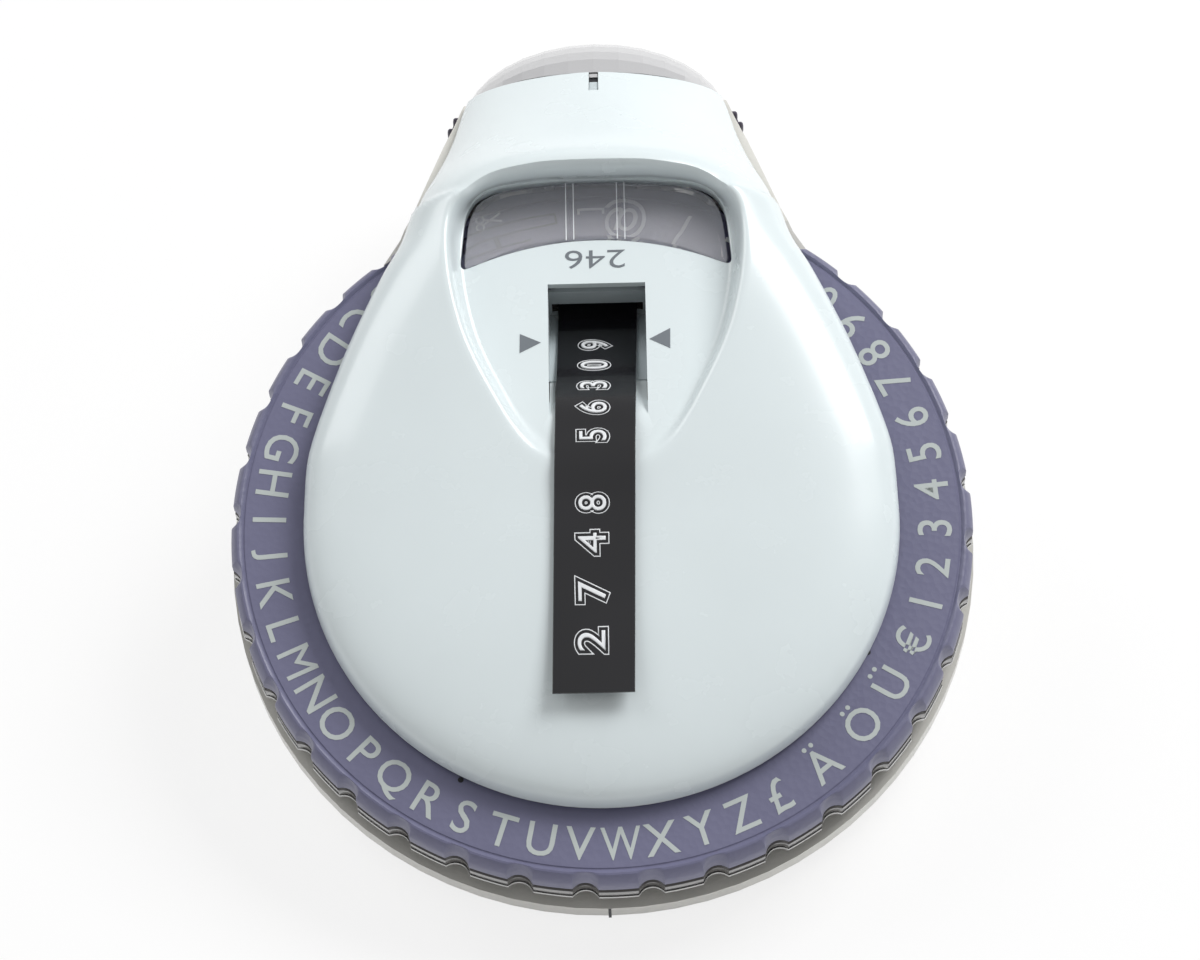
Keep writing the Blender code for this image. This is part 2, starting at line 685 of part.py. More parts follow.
def cover_sheet(inset):
    """Points of one face of the cover, and the index grid that joins them."""
    points = []
    rows = []
    full = [-share for share in reversed(COVER_COLUMN_SHARES[1:])] + list(COVER_COLUMN_SHARES)
    for row_share in COVER_ROW_SHARES:
        y = row_share * SEAM_Y
        row = []
        for share in full:
            x = share * (cover_half_width(y) - inset)
            row.append(len(points))
            points.append((x, y, cover_height(y, share, inset)))
        rows.append(row)
    middle = len(COVER_COLUMN_SHARES) - 1
    spokes = [rows[0][middle:]]
    for step in range(1, COVER_FAN_STEPS):
        angle = -math.pi * step / COVER_FAN_STEPS
        spoke = [rows[0][middle]]
        for share in COVER_COLUMN_SHARES[1:]:
            reach = share * (COVER_R - inset)
            x, y = reach * math.cos(angle), reach * math.sin(angle)
            spoke.append(len(points))
            points.append((x, y, cover_height(y, share, inset)))
        spokes.append(spoke)
    spokes.append(rows[0][middle::-1])
    return points, rows, spokes


def sheet_faces(rows, spokes, offset):
    faces = []
    for grid in (rows, spokes):
        for near, far in zip(grid, grid[1:]):
            for i in range(len(near) - 1):
                corners = (near[i], near[i + 1], far[i + 1], far[i])
                faces.append(tuple(dict.fromkeys(c + offset for c in corners)))
    return faces


def make_cover(axis):
    """The top shell: a dome over the dial that narrows and dips to the tail, with the panel sunk into it."""
    outer, rows, spokes = cover_sheet(0)
    inner, _, _ = cover_sheet(WALL)
    count = len(outer)
    faces = sheet_faces(rows, spokes, 0) + sheet_faces(rows, spokes, count)
    border = [row[-1] for row in reversed(rows)] + [spoke[-1] for spoke in spokes[1:-1]]
    border += [row[0] for row in rows] + rows[-1][1:-1]
    for i, start in enumerate(border):
        end = border[(i + 1) % len(border)]
        faces.append((start, end, end + count, start + count))
    cover = piece_of("top_cover", outer + inner, faces, "pale_blue_plastic", axis)
    for side in (-1, 1):
        near, far = sorted((side * (EAR_X - EAR_T / 2), side * (EAR_X + EAR_T / 2)))
        outline = []
        for i in range(9):
            angle = math.pi + math.pi * i / 8
            outline.append((PRESS_Y + EAR_R * math.cos(angle), PRESS_Z + EAR_R * math.sin(angle)))
        for y in (PRESS_Y + EAR_R, PRESS_Y, PRESS_Y - EAR_R):
            share = EAR_X / cover_half_width(y)
            outline.append((y, cover_height(y, share, WALL / 2)))
        join(cover, crosswise(outline, near, far), axis)
        cut(cover, sideways(rod(PRESS_PIN_R + CLEAR, near - WALL, far + WALL), PRESS_Y, PRESS_Z), axis)
    tray = [[], []]
    for x, y in panel_outline(PANEL_WALL):
        share = abs(x) / cover_half_width(y)
        tray[0].append((x, y, panel_floor(y) - PANEL_WALL))
        tray[1].append((x, y, cover_height(y, share, WALL / 2)))
    join(cover, stacked(tray), axis)
    recess = [[(x, y, panel_floor(y)) for x, y in panel_outline(-PANEL_DRAFT)]]
    recess.append([(x, y, OVERRUN / 2) for x, y in panel_outline(PANEL_DRAFT)])
    cut(cover, stacked(recess), axis)
    cut(cover, on_panel(window_outline(0), -OVERRUN / 2, LENS_T), axis)
    slot = [
        (SLOT_REAR_Y, ramp(SLOT_REAR_Y)), (SLOT_REAR_Y, OVERRUN / 2),
        (SLOT_FRONT_Y - WALL, OVERRUN / 2), (SLOT_FRONT_Y - WALL, ramp(SLOT_FRONT_Y - WALL)),
    ]
    cut(cover, crosswise(slot, -SLOT_HALF_W, SLOT_HALF_W), axis)
    cut(cover, box(-NOTCH_HALF_W, NOTCH_HALF_W, SEAM_Y - NOTCH_L, SEAM_Y + WALL, SEAM_Z - OVERRUN, OVERRUN), axis)
    return cover


def make_lens(axis):
    return piece_of("window_lens", *on_panel(window_outline(CLEAR), -LENS_T, 0), "clear_lens", axis)


def make_chute(axis):
    rear = SLOT_REAR_Y + CHUTE_WALL
    gap = WALL + CLEAR

    def under(y):
        return panel_floor(y) - gap

    rise = (ramp(0) - ramp(SLOT_REAR_Y)) / SLOT_REAR_Y
    fall = (panel_floor(0) - panel_floor(SLOT_REAR_Y)) / SLOT_REAR_Y
    tip = SLOT_FRONT_Y + gap / (rise - fall) + CHUTE_WALL
    outline = [
        (rear, ramp(SLOT_REAR_Y) - CHUTE_WALL), (rear, under(rear)),
        (tip, under(tip)), (tip, under(tip) - CHUTE_WALL),
    ]
    width = SLOT_HALF_W + CHUTE_WALL
    chute = piece_of("tape_chute", *crosswise(outline, -width, width), "natural_plastic", axis)
    channel = [
        (SLOT_REAR_Y, ramp(SLOT_REAR_Y)), (SLOT_REAR_Y, OVERRUN),
        (tip - OVERRUN, OVERRUN), (tip - OVERRUN, ramp(tip - OVERRUN)),
    ]
    cut(chute, crosswise(channel, -SLOT_HALF_W, SLOT_HALF_W), axis)
    outside = [(HUB_R, -OVERRUN), (DIAL_R, -OVERRUN), (DIAL_R, OVERRUN), (HUB_R, OVERRUN)]
    cut(chute, turned(outside, 96), axis)
    mouth = SLOT_HALF_W - CLEAR
    cut(chute, box(-mouth, mouth, SLOT_REAR_Y - CLEAR, rear + WALL, ramp(SLOT_REAR_Y), -UPPER_DIAL_H / 3), axis)
    return chute


def dial_ring(name, profile, finish, axis):
    """A ring with hollow notches round its rim and teeth in its bore. The profile marks both by a letter."""
    steps = NOTCHES * STEPS_PER_NOTCH
    points, faces = [], []
    count = len(profile)
    for i in range(steps):
        angle = DIAL_TURN + 2 * math.pi * i / steps
        for radius, z, kind in profile:
            if kind == "rim" and i % STEPS_PER_NOTCH == 0:
                radius -= NOTCH_DEPTH
            if kind == "bore" and i % 2:
                radius += TOOTH_DEPTH
            points.append((radius * math.cos(angle), radius * math.sin(angle), z))
    for i in range(steps):
        j = (i + 1) % steps
        for k in range(count):
            m = (k + 1) % count
            faces.append((i * count + k, j * count + k, j * count + m, i * count + m))
    return piece_of(name, points, faces, finish, axis)


def make_dials(axis):
    skirt = DIAL_R - DIAL_SKIRT_W
    upper = (
        (DIAL_BORE_R, 0.0, "bore"), (DIAL_R - DIAL_BEVEL, 0.0, ""), (DIAL_R, -DIAL_BEVEL, "rim"),
        (DIAL_R, -UPPER_DIAL_H, "rim"), (skirt, -UPPER_DIAL_H, ""), (skirt, -DIAL_PLATE_T, ""),
        (DIE_OUT_R, -DIAL_PLATE_T, ""), (DIE_OUT_R, -UPPER_DIAL_H, ""), (DIAL_BORE_R, -UPPER_DIAL_H, "bore"),
    )
    lower = (
        (DIAL_BORE_R, LOWER_DIAL_TOP, "bore"), (DIAL_R, LOWER_DIAL_TOP, "rim"),
        (DIAL_R, DIAL_BOTTOM + DIAL_BEVEL, "rim"), (DIAL_R - DIAL_BEVEL, DIAL_BOTTOM, "rim"),
        (DIAL_BORE_R, DIAL_BOTTOM, "bore"),
    )
    dial_ring("letter_dial", upper, "purple_plastic", axis)
    ring = dial_ring("lower_die_dial", lower, "smoked_plastic", axis)
    near = DIAL_BORE_R + TOOTH_DEPTH + CLEAR
    pocket = turned_box(near - CLEAR, DIE_OUT_R + CLEAR, BLADE_T / 2 + CLEAR, DIAL_BOTTOM + WALL / 2, OVERRUN)
    cut(ring, pocket, axis)
    blade = turned_box(near, DIE_OUT_R, BLADE_T / 2, DIAL_BOTTOM + WALL / 2 + CLEAR, LOWER_DIAL_TOP)
    piece_of("cutter_blade", *blade, "steel", axis)


def turned_box(near, far, half_width, low, high):
    """A block along a radius of the dial, at the cutting place."""
    turn = Matrix.Rotation(BLADE_ANGLE, 3, "Z")
    points, faces = box(near, far, -half_width, half_width, low, high)
    return [tuple(turn @ Vector(point)) for point in points], faces


def spindle(levels, y=0.0, x=0.0, steps=16):
    """A turned piece from (radius, height) levels, capped at both ends."""
    return stacked([[(px, py, z) for px, py in circle(radius, steps, y, x)] for radius, z in levels])


def make_hub(axis):
    flange = DIAL_BORE_R + TOOTH_DEPTH + WALL / 2
    wall = HUB_R - WALL
    web = HUB_TOP_Z - HUB_T
    profile = [
        (HUB_BORE_R, HUB_TOP_Z), (flange, HUB_TOP_Z), (flange, CLEAR), (HUB_R, CLEAR),
        (HUB_R, DIAL_BOTTOM), (wall, DIAL_BOTTOM), (wall, web), (HUB_BORE_R, web),
    ]
    hub = piece_of("hub_frame", *turned(profile, 64), "natural_plastic", axis)
    for angle in SCREW_ANGLES:
        x, y = SCREW_RING_R * math.cos(angle), SCREW_RING_R * math.sin(angle)
        join(hub, spindle([(SCREW_HEAD_R, DIAL_BOTTOM), (SCREW_HEAD_R, web + WALL / 2)], y, x), axis)
        cut(hub, spindle([(SCREW_R + CLEAR, DIAL_BOTTOM - WALL), (SCREW_R + CLEAR, OVERRUN)], y, x), axis)
    room = SLOT_HALF_W + CHUTE_WALL + CLEAR
    cut(hub, box(-room, room, SLOT_FRONT_Y - WALL, DIAL_R, -OVERRUN, OVERRUN), axis)
    cut(hub, upright(circle(PINION_R + 2 * CLEAR, 24, PINION_Y), DIAL_BOTTOM - OVERRUN, web), axis)
    cut(hub, upright(circle(SHAFT_R + CLEAR, 16, PINION_Y), web - WALL, HUB_TOP_Z - WALL / 4), axis)
    return hub


def make_retainer(axis):
    low = RETAINER_TOP - RETAINER_T
    profile = [
        (RETAINER_BORE_R, RETAINER_TOP), (RETAINER_R, RETAINER_TOP), (RETAINER_R, low), (RETAINER_BORE_R, low),
    ]
    ring = piece_of("dial_retaining_ring", *turned(profile, 64), "steel", axis)
    room = SLOT_HALF_W + CHUTE_WALL
    cut(ring, box(-room, room, 0, DIAL_R, -OVERRUN, OVERRUN), axis)
    for angle in SCREW_ANGLES:
        x, y = SCREW_RING_R * math.cos(angle), SCREW_RING_R * math.sin(angle)
        cut(ring, spindle([(SCREW_R + CLEAR, -OVERRUN), (SCREW_R + CLEAR, OVERRUN)], y, x), axis)
    return ring


def make_hub_screws(axis):
    """Three screws clamp the retaining ring and the hub together."""
    head = RETAINER_TOP - RETAINER_T - CLEAR
    for number, angle in enumerate(SCREW_ANGLES, 1):
        x, y = SCREW_RING_R * math.cos(angle), SCREW_RING_R * math.sin(angle)
        levels = [(SCREW_HEAD_R, head - SCREW_HEAD_T), (SCREW_HEAD_R, head), (SCREW_R, head), (SCREW_R, HUB_TOP_Z)]
        piece_of(f"hub_screw_{number}", *spindle(levels, y, x), "steel", axis)


def make_stop_screw(axis):
    levels = [
        (STOP_R, POST_TOP - 3 * STOP_R), (STOP_R, HUB_TOP_Z + CLEAR),
        (STOP_HEAD_R, HUB_TOP_Z + CLEAR), (STOP_HEAD_R, HUB_TOP_Z + CLEAR + SCREW_HEAD_T),
    ]
    piece_of("stop_screw", *spindle(levels), "steel", axis)


def make_tape_frame(axis):
    """Two side plates on a foot plate. They carry the coil's spindle and both rollers."""
    floor = FLOOR_T + CLEAR
    front = DIAL_R + WALL / 2 + CLEAR
    rear = SEAM_Y - WALL
    top = PINCH_Z + SHAFT_R + CLEAR
    side = [
        (front, underside(front) + floor), (front, top), (ROLLER_Y + PINCH_R, top),
        (COIL_Y + WALL, COIL_Z + COIL_R + WALL), (rear, COIL_Z + COIL_R / 2), (rear, underside(rear) + floor),
    ]
    foot = [
        (front, underside(front) + floor), (front, underside(front) + floor + FRAME_GAUGE),
        (rear, underside(rear) + floor + FRAME_GAUGE), (rear, underside(rear) + floor),
    ]
    out = FRAME_HALF_W + FRAME_GAUGE
    frame = piece_of("tape_frame", *crosswise(foot, -out, out), "steel", axis)
    for way in (-1, 1):
        low, high = sorted((way * FRAME_HALF_W, way * out))
        join(frame, crosswise(side, low, high), axis)
    holes = ((SPINDLE_R, COIL_Y, COIL_Z), (SHAFT_R, ROLLER_Y, FEED_Z), (SHAFT_R, ROLLER_Y, PINCH_Z))
    for radius, y, z in holes:
        cut(frame, sideways(rod(radius + CLEAR, -out - WALL, out + WALL), y, z), axis)
    return frame


def sleeve(outer_r, bore_r, half_width, y, z, steps=32):
    profile = [(bore_r, -half_width), (outer_r, -half_width), (outer_r, half_width), (bore_r, half_width)]
    return sideways(turned(profile, steps), y, z)


def make_rollers(base, feed, pinch, coil):
    out = FRAME_HALF_W + FRAME_GAUGE
    half = TAPE_W / 2 + CLEAR
    piece_of("feed_roller", *sleeve(FEED_R, SHAFT_R + CLEAR, half, ROLLER_Y, FEED_Z, 24), "rubber", feed)
    ratchet_x = out + 2 * CLEAR
    shaft = rod(SHAFT_R, -out - WALL / 2, ratchet_x + WALL)
    piece_of("feed_shaft", *sideways(shaft, ROLLER_Y, FEED_Z), "steel", feed)
    wheel = sideways(toothed(RATCHET_R, TOOTH_DEPTH, RATCHET_TEETH, ratchet_x, ratchet_x + FRAME_GAUGE), ROLLER_Y, FEED_Z)
    ratchet = piece_of("ratchet_wheel", *wheel, "natural_plastic", feed)
    cut(ratchet, sideways(rod(SHAFT_R + CLEAR, 0, OVERRUN), ROLLER_Y, FEED_Z), feed)
    piece_of("pinch_roller", *sleeve(PINCH_R, SHAFT_R + CLEAR, half, ROLLER_Y, PINCH_Z, 24), "natural_plastic", pinch)
    piece_of("pinch_pin", *sideways(rod(SHAFT_R, -out - CLEAR, out + CLEAR), ROLLER_Y, PINCH_Z), "steel", base)
    piece_of("coil_spindle", *sideways(rod(SPINDLE_R, -out - WALL / 2, out + WALL / 2), COIL_Y, COIL_Z), "steel", base)
    piece_of("spool_core", *sleeve(CORE_R - CLEAR, SPINDLE_R + CLEAR, half, COIL_Y, COIL_Z, 24), "natural_plastic", coil)
    piece_of("tape_coil", *sleeve(COIL_R, CORE_R, TAPE_W / 2, COIL_Y, COIL_Z, 48), "black_tape", coil)


def ribbon(path, lean=0.0):
    """A strip of tape along (y, z) points, which leans aside once it is out of the slot's rear."""
    half = TAPE_W / 2
    levels = []
    for y, z in path:
        low, high = z - TAPE_T / 2, z + TAPE_T / 2
        x = lean * min(y - SLOT_REAR_Y, 0.0)
        levels.append([(x - half, y, low), (x + half, y, low), (x + half, y, high), (x - half, y, high)])
    return stacked(levels)


def make_tape(base, head):
    """The tape in two lengths: from the coil through the rollers, and from the dial out over the cover."""
    nip_y, nip_z = ROLLER_Y, TAPE_Z
    far = math.hypot(nip_y - COIL_Y, nip_z - COIL_Z)
    angle = math.atan2(nip_z - COIL_Z, nip_y - COIL_Y) - math.acos(COIL_R / far)
    leave = COIL_R + CLEAR + TAPE_T
    start = (COIL_Y + leave * math.cos(angle), COIL_Z + leave * math.sin(angle))
    between = ((start[0] + nip_y) / 2 - TAPE_T, (start[1] + nip_z) / 2 + TAPE_T)
    path = [start, between, (nip_y + SHAFT_R, nip_z + CLEAR / 2), (nip_y, nip_z), (DIAL_R + CLEAR, nip_z)]
    piece_of("tape_feed", *ribbon(path), "black_tape", base)
    lift = TAPE_T / 2 + CLEAR
    bend = SLOT_FRONT_Y - WALL
    table = [
        (TAPE_END_Y, crown(TAPE_END_Y) + lift + TAPE_END_LIFT),
        (TAPE_END_Y / 2, crown(TAPE_END_Y / 2) + lift + TAPE_END_LIFT / 3),
        (0.0, crown(0) + lift + TAPE_END_LIFT / 4),
        (bend / 2, crown(bend / 2) + lift + TAPE_END_LIFT / 3),
        (bend, ramp(SLOT_FRONT_Y) + lift + TAPE_END_LIFT / 2),
        (SLOT_FRONT_Y + WALL, ramp(SLOT_FRONT_Y + WALL) + 2 * lift),
        (SLOT_REAR_Y - 2 * WALL, ramp(SLOT_REAR_Y - 2 * WALL) + lift),
        (DIAL_BORE_R, TAPE_Z),
        (DIAL_R - CLEAR, TAPE_Z),
    ]
    steps = 30
    path = []
    for i in range(steps + 1):
        y = TAPE_END_Y + (DIAL_BORE_R - TAPE_END_Y) * i / steps
        path.append((y, smooth_value(table, y)))
    path.append((DIAL_R - CLEAR, TAPE_Z))
    piece_of("tape_strip", *ribbon(path, TAPE_LEAN), "black_tape", head)


def door_radius(x):
    """The door's reach from the coil's axis: full in the middle, falling away to its cheeks."""
    return DOOR_R - DOOR_CROWN * (1 - math.sqrt(1 - (x / DOOR_CROWN_HALF_W) ** 2))


def barrel(inset):
    levels = []
    steps = 8
    for i in range(-steps, steps + 1):
        x = (DOOR_HALF_W - inset) * math.sin(math.pi / 2 * i / steps)
        ring = circle(door_radius(x) - inset, 48)
        levels.append([(x, COIL_Y + y, COIL_Z + z) for y, z in ring])
    return stacked(levels)


def make_door(base, door):
    shell = piece_of("rear_door", *barrel(0), "milky_door_plastic", door)
    inside = piece_of("hollow of the door", *barrel(WALL), None, door)
    inside.hide_render = True
    inside.display_type = "WIRE"
    boolean(shell, inside, "DIFFERENCE")
    deep = COIL_Z - OVERRUN
    cut(shell, box(-OVERRUN, OVERRUN, -OVERRUN, SEAM_Y + CLEAR, deep, COIL_Z + OVERRUN), door)
    for side in (-1, 1):
        low, high = sorted((side * KNUCKLE_IN_X, side * (KNUCKLE_IN_X + KNUCKLE_L)))
        join(shell, sideways(rod(KNUCKLE_R, low, high), DOOR_PIN_Y, DOOR_PIN_Z), door)
    reach = KNUCKLE_IN_X + 2 * KNUCKLE_L
    cut(shell, sideways(rod(DOOR_PIN_R + CLEAR, -reach, reach), DOOR_PIN_Y, DOOR_PIN_Z), door)
    piece_of("door_pin", *sideways(rod(DOOR_PIN_R, -reach, reach), DOOR_PIN_Y, DOOR_PIN_Z), "steel", base)


def make_detent(axis):
    """A leaf on the hub whose bent end rides the lower dial's bore teeth."""
    inner = HUB_R - 2 * WALL
    outline = [(-inner, 0), (-inner, SPRING_R * 2), (-inner + BLADE_T, SPRING_R * 2), (-inner + BLADE_T, 0)]
    low = DIAL_BOTTOM + CLEAR
    return piece_of("detent_spring", *upright(outline, low, low + WALL), "steel", axis)


def add_parts(frame):
    press = Axis("press_axis", (0, PRESS_Y, PRESS_Z), frame)
    dial = Axis("dial_axis", (0, 0, 0), press)
    pinion = Axis("pinion_axis", (0, PINION_Y, 0), press)
    feed = Axis("feed_axis", (0, ROLLER_Y, FEED_Z), frame)
    pinch = Axis("pinch_axis", (0, ROLLER_Y, PINCH_Z), frame)
    coil = Axis("coil_axis", (0, COIL_Y, COIL_Z), frame)
    door = Axis("door_axis", (0, DOOR_PIN_Y, DOOR_PIN_Z), frame)
    make_base(frame)
    for name, x, y in feet_places():
        piece_of(name, *foot_shape(x, y, FOOT_R, -FOOT_PROUD, -CLEAR), "rubber", frame)
    half = ANVIL_W / 2
    anvil = box(-half, half, ANVIL_Y - ANVIL_L / 2, ANVIL_Y + ANVIL_L / 2, ANVIL_TOP - ANVIL_H, ANVIL_TOP)
    piece_of("anvil", *anvil, "steel", frame)
    spring = coil_wire(SPRING_R, SPRING_WIRE_R, SPRING_TURNS, SEAT_TOP + CLEAR, HUB_TOP_Z - HUB_T - CLEAR, (0, SPRING_Y))
    piece_of("return_spring", *spring, "steel", frame)
    make_stop_screw(frame)
    for side, name in ((-1, "left"), (1, "right")):
        low, high = sorted((side * PRESS_PIN_IN, side * PRESS_PIN_OUT))
        piece_of("press_pin_" + name, *sideways(rod(PRESS_PIN_R, low, high), PRESS_Y, PRESS_Z), "steel", frame)
        latch = Axis(f"latch_{name}_axis", on_tail_side(side, 0, 0, 0), frame)
        make_latch(side, "latch_button_" + name, latch)
    make_tape_frame(frame)
    make_rollers(frame, feed, pinch, coil)
    make_tape(frame, press)
    make_door(frame, door)
    make_cover(press)
    make_lens(press)
    make_chute(press)
    make_hub(press)
    make_retainer(press)
    make_hub_screws(press)
    make_detent(press)
    strike = box(-half, half, SLOT_REAR_Y + CHUTE_WALL + CLEAR, WINDOW_FRONT_R - WALL / 2, CLEAR, CLEAR + STRIKE_T)
    piece_of("strike_plate", *strike, "steel", press)
    make_dials(dial)
    web = HUB_TOP_Z - HUB_T
    gear = toothed(PINION_R, TOOTH_DEPTH, PINION_TEETH, DIAL_BOTTOM + CLEAR, web - CLEAR)
    wheel = piece_of("sync_pinion", *[[(x, y + PINION_Y, z) for x, y, z in gear[0]], gear[1]], "natural_plastic", pinion)
    cut(wheel, upright(circle(SHAFT_R + CLEAR, 16, PINION_Y), -OVERRUN, OVERRUN), pinion)
    pin = upright(circle(SHAFT_R, 16, PINION_Y), RETAINER_TOP + CLEAR, HUB_TOP_Z - WALL / 4 - CLEAR)
    piece_of("pinion_pin", *pin, "steel", press)


def set_on_table(frame):
    """Leans the dial frame forward and moves it so that the origin is under the middle of the part."""
    lean = Matrix.Rotation(TILT, 4, "X")
    table = (lean @ Vector((0, -BASE_R, UNDERSIDE_FRONT))).z - FOOT_PROUD * math.cos(TILT)
    front = (lean @ Vector((0, -DIAL_R, -DIAL_BEVEL))).y
    rear = (lean @ Vector((0, COIL_Y, COIL_Z))).y + DOOR_R
    frame.empty.rotation_euler = (TILT, 0, 0)
    frame.empty.location = (0, -(front + rear) / 2, -table)


def main():
    clear_scene()
    frame = Axis("dial_frame")
    add_parts(frame)
    set_on_table(frame)
    bpy.context.view_layer.update()


main()
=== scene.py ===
"""Looks of the embossing label maker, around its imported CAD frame.

Shapes are worked out in the dial's own frame, in millimetres: origin on the dial axis at the letter face,
+Z up out of the letters, +Y towards the tail. The record's dial joint says where that frame lies.
"""

import json
import math

import bmesh
import bpy
from mathutils import Matrix, Vector


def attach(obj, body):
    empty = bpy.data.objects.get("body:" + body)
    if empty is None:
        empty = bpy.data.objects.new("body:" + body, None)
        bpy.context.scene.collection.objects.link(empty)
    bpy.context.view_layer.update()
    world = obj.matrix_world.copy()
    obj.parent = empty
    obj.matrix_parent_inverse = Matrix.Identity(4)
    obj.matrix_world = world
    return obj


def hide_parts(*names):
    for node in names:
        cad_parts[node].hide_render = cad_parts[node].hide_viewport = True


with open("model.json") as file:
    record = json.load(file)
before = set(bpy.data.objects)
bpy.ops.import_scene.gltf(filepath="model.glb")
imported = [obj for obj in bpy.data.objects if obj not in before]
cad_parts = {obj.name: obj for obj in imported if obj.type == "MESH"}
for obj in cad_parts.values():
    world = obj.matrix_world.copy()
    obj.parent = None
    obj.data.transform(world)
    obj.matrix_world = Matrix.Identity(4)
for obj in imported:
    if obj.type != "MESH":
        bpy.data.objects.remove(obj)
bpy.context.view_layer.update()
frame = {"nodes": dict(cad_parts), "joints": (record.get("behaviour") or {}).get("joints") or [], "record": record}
nodes = frame["nodes"]
joints = {joint["name"]: joint for joint in frame["joints"]}

# The dial's frame, from its joint
DIAL_UP = Vector(joints["dial_spin"]["axis"])
DIAL_PLACE = Vector(joints["dial_spin"]["pos_m"])
TILT = math.atan2(-DIAL_UP.y, DIAL_UP.z)
DIAL_FRAME = Matrix.Translation(DIAL_PLACE) @ Matrix.Rotation(TILT, 4, "X") @ Matrix.Scale(0.001, 4)

# Camera, fitted to the photograph: over the dial, a little to its right, with a slight roll
CAMERA_TARGET = Vector((0.1, 5.5, 0.0))
CAMERA_RISE = math.radians(68.11)
CAMERA_YAW = math.radians(1.78)
CAMERA_ROLL = math.radians(-3.01)
CAMERA_DISTANCE = 546.0
CAMERA_LENS = 146.2

# Sizes of the cover, in millimetres. They are the part's, apart from TAIL_ROUND_POWER (part: 2.0), PANEL_FRONT_Z
# (part: 7.2) and COVER_WALL (part: 2.0). At 1.5 this shell met the tape frame with the cover pressed.
COVER_R = 33.25
COVER_LIFT = 0.5
COVER_WALL = 1.1
SEAM_Y = 59.2
CROWN_FRONT_Z = 7.0
CREST_Y = 38.5
CREST_Z = 10.6
SEAM_Z = -5.4
COVER_DROP_Y = 37.6
PARTING_FRONT_Y = 38.6
PARTING_FRONT_Z = -2.8
PARTING_REAR_Z = -13.2
FRONT_ROUND_POWER = 3.4
TAIL_ROUND_POWER = 1.68
COVER_SIDE_SHARES = (
    (0.0, 1.0), (0.12, 0.989), (0.18, 0.965), (0.28, 0.905), (0.38, 0.836), (0.50, 0.739),
    (0.565, 0.676), (0.62, 0.643), (0.69, 0.610), (0.77, 0.562), (0.84, 0.523), (0.90, 0.496),
    (0.95, 0.478), (1.0, 0.457),
)
PANEL_Y = 33.0
PANEL_FRONT_L = 28.5
PANEL_REAR_L = 7.8
PANEL_FRONT_Z = 6.9
PANEL_REAR_Z = 4.0
PANEL_EDGE = (
    (4.5, 1.5), (6.5, 6.3), (9.4, 8.9), (12.8, 10.8), (19.5, 13.9), (25.0, 15.4), (30.5, 16.1),
    (35.5, 15.8), (38.6, 13.8), (40.2, 11.0), (40.8, 6.0),
)
WINDOW_FRONT_R = 33.2
WINDOW_REAR_Y = 41.2
WINDOW_HALF_ANGLE = math.radians(27.8)
WINDOW_TOP_HALF_W = 11.2
WINDOW_CORNER_Y = 36.6
LENS_T = 1.3
CLEAR = 0.3
BASE_R = 41.9
BASE_TOP = -8.6

# Tape and its slot
TAPE_W = 9.0
TAPE_T = 0.25
TAPE_Z = -3.25
TAPE_SLIT = 0.7
SLOT_HALF_W = 5.5
SLOT_REAR_Y = 27.6
SLOT_FRONT_Y = 10.8
TAPE_END_Y = -22.3
TAPE_END_LIFT = 0.9
TAPE_LEAN = 0.022
WALL = 2.0

# Dial rings, as in the part apart from NOTCH_DEPTH (part 0.9)
DIAL_R = 41.5
DIAL_BORE_R = 28.8
UPPER_DIAL_H = 2.9
LOWER_DIAL_TOP = -3.6
LOWER_DIAL_H = 2.8
DIAL_BEVEL = 0.7
NOTCHES = 36
DIAL_TURN = math.radians(-3.5)
NOTCH_DEPTH = 0.8
NOTCH_SHARE = 0.36
RING_STEPS_PER_NOTCH = 20
BASELINE_R = 39.0
LETTER_H = 3.8

TAPE_STEPS = 150
TAPE_CROWN = 1.02
# The parts of an embossed number: outline offset, fill, bevel depth and extrusion
EMBOSSING = (("face", -0.10, "BOTH", 0.09, 0.05), ("rim", 0.34, "NONE", 0.055, 0.0))
# Plain numbers on the label: figure, row along the tape and width
TAPE_FIGURE_H = 3.1
TAPE_FIGURES = (
    ("2", -16.3, 1.25), ("7", -10.6, 1.2), ("4", -4.9, 1.15), ("8", -0.3, 0.95),
    ("5", 7.8, 0.85), ("6", 11.5, 0.85), ("3", 15.0, 0.8), ("0", 18.4, 0.85), ("9", 21.9, 0.85),
)


def smooth_value(table, at):
    """A smooth curve through the table's points, by cubic Hermite spans."""
    if at <= table[0][0]:
        return table[0][1]
    if at >= table[-1][0]:
        return table[-1][1]
    span = max(i for i in range(len(table) - 1) if table[i][0] <= at)
    (a, low), (b, high) = table[span], table[span + 1]

    def slope(i):
        before, after = max(i - 1, 0), min(i + 1, len(table) - 1)
        return (table[after][1] - table[before][1]) / (table[after][0] - table[before][0])

    width = b - a
    t = (at - a) / width
    rise = slope(span) * width * (t ** 3 - 2 * t ** 2 + t) + slope(span + 1) * width * (t ** 3 - t ** 2)
    return low * (2 * t ** 3 - 3 * t ** 2 + 1) + high * (3 * t ** 2 - 2 * t ** 3) + rise


def smooth_step(value):
    value = min(max(value, 0.0), 1.0)
    return value * value * (3 - 2 * value)


def half_width(y):
    return COVER_R * smooth_value(COVER_SIDE_SHARES, y / SEAM_Y)


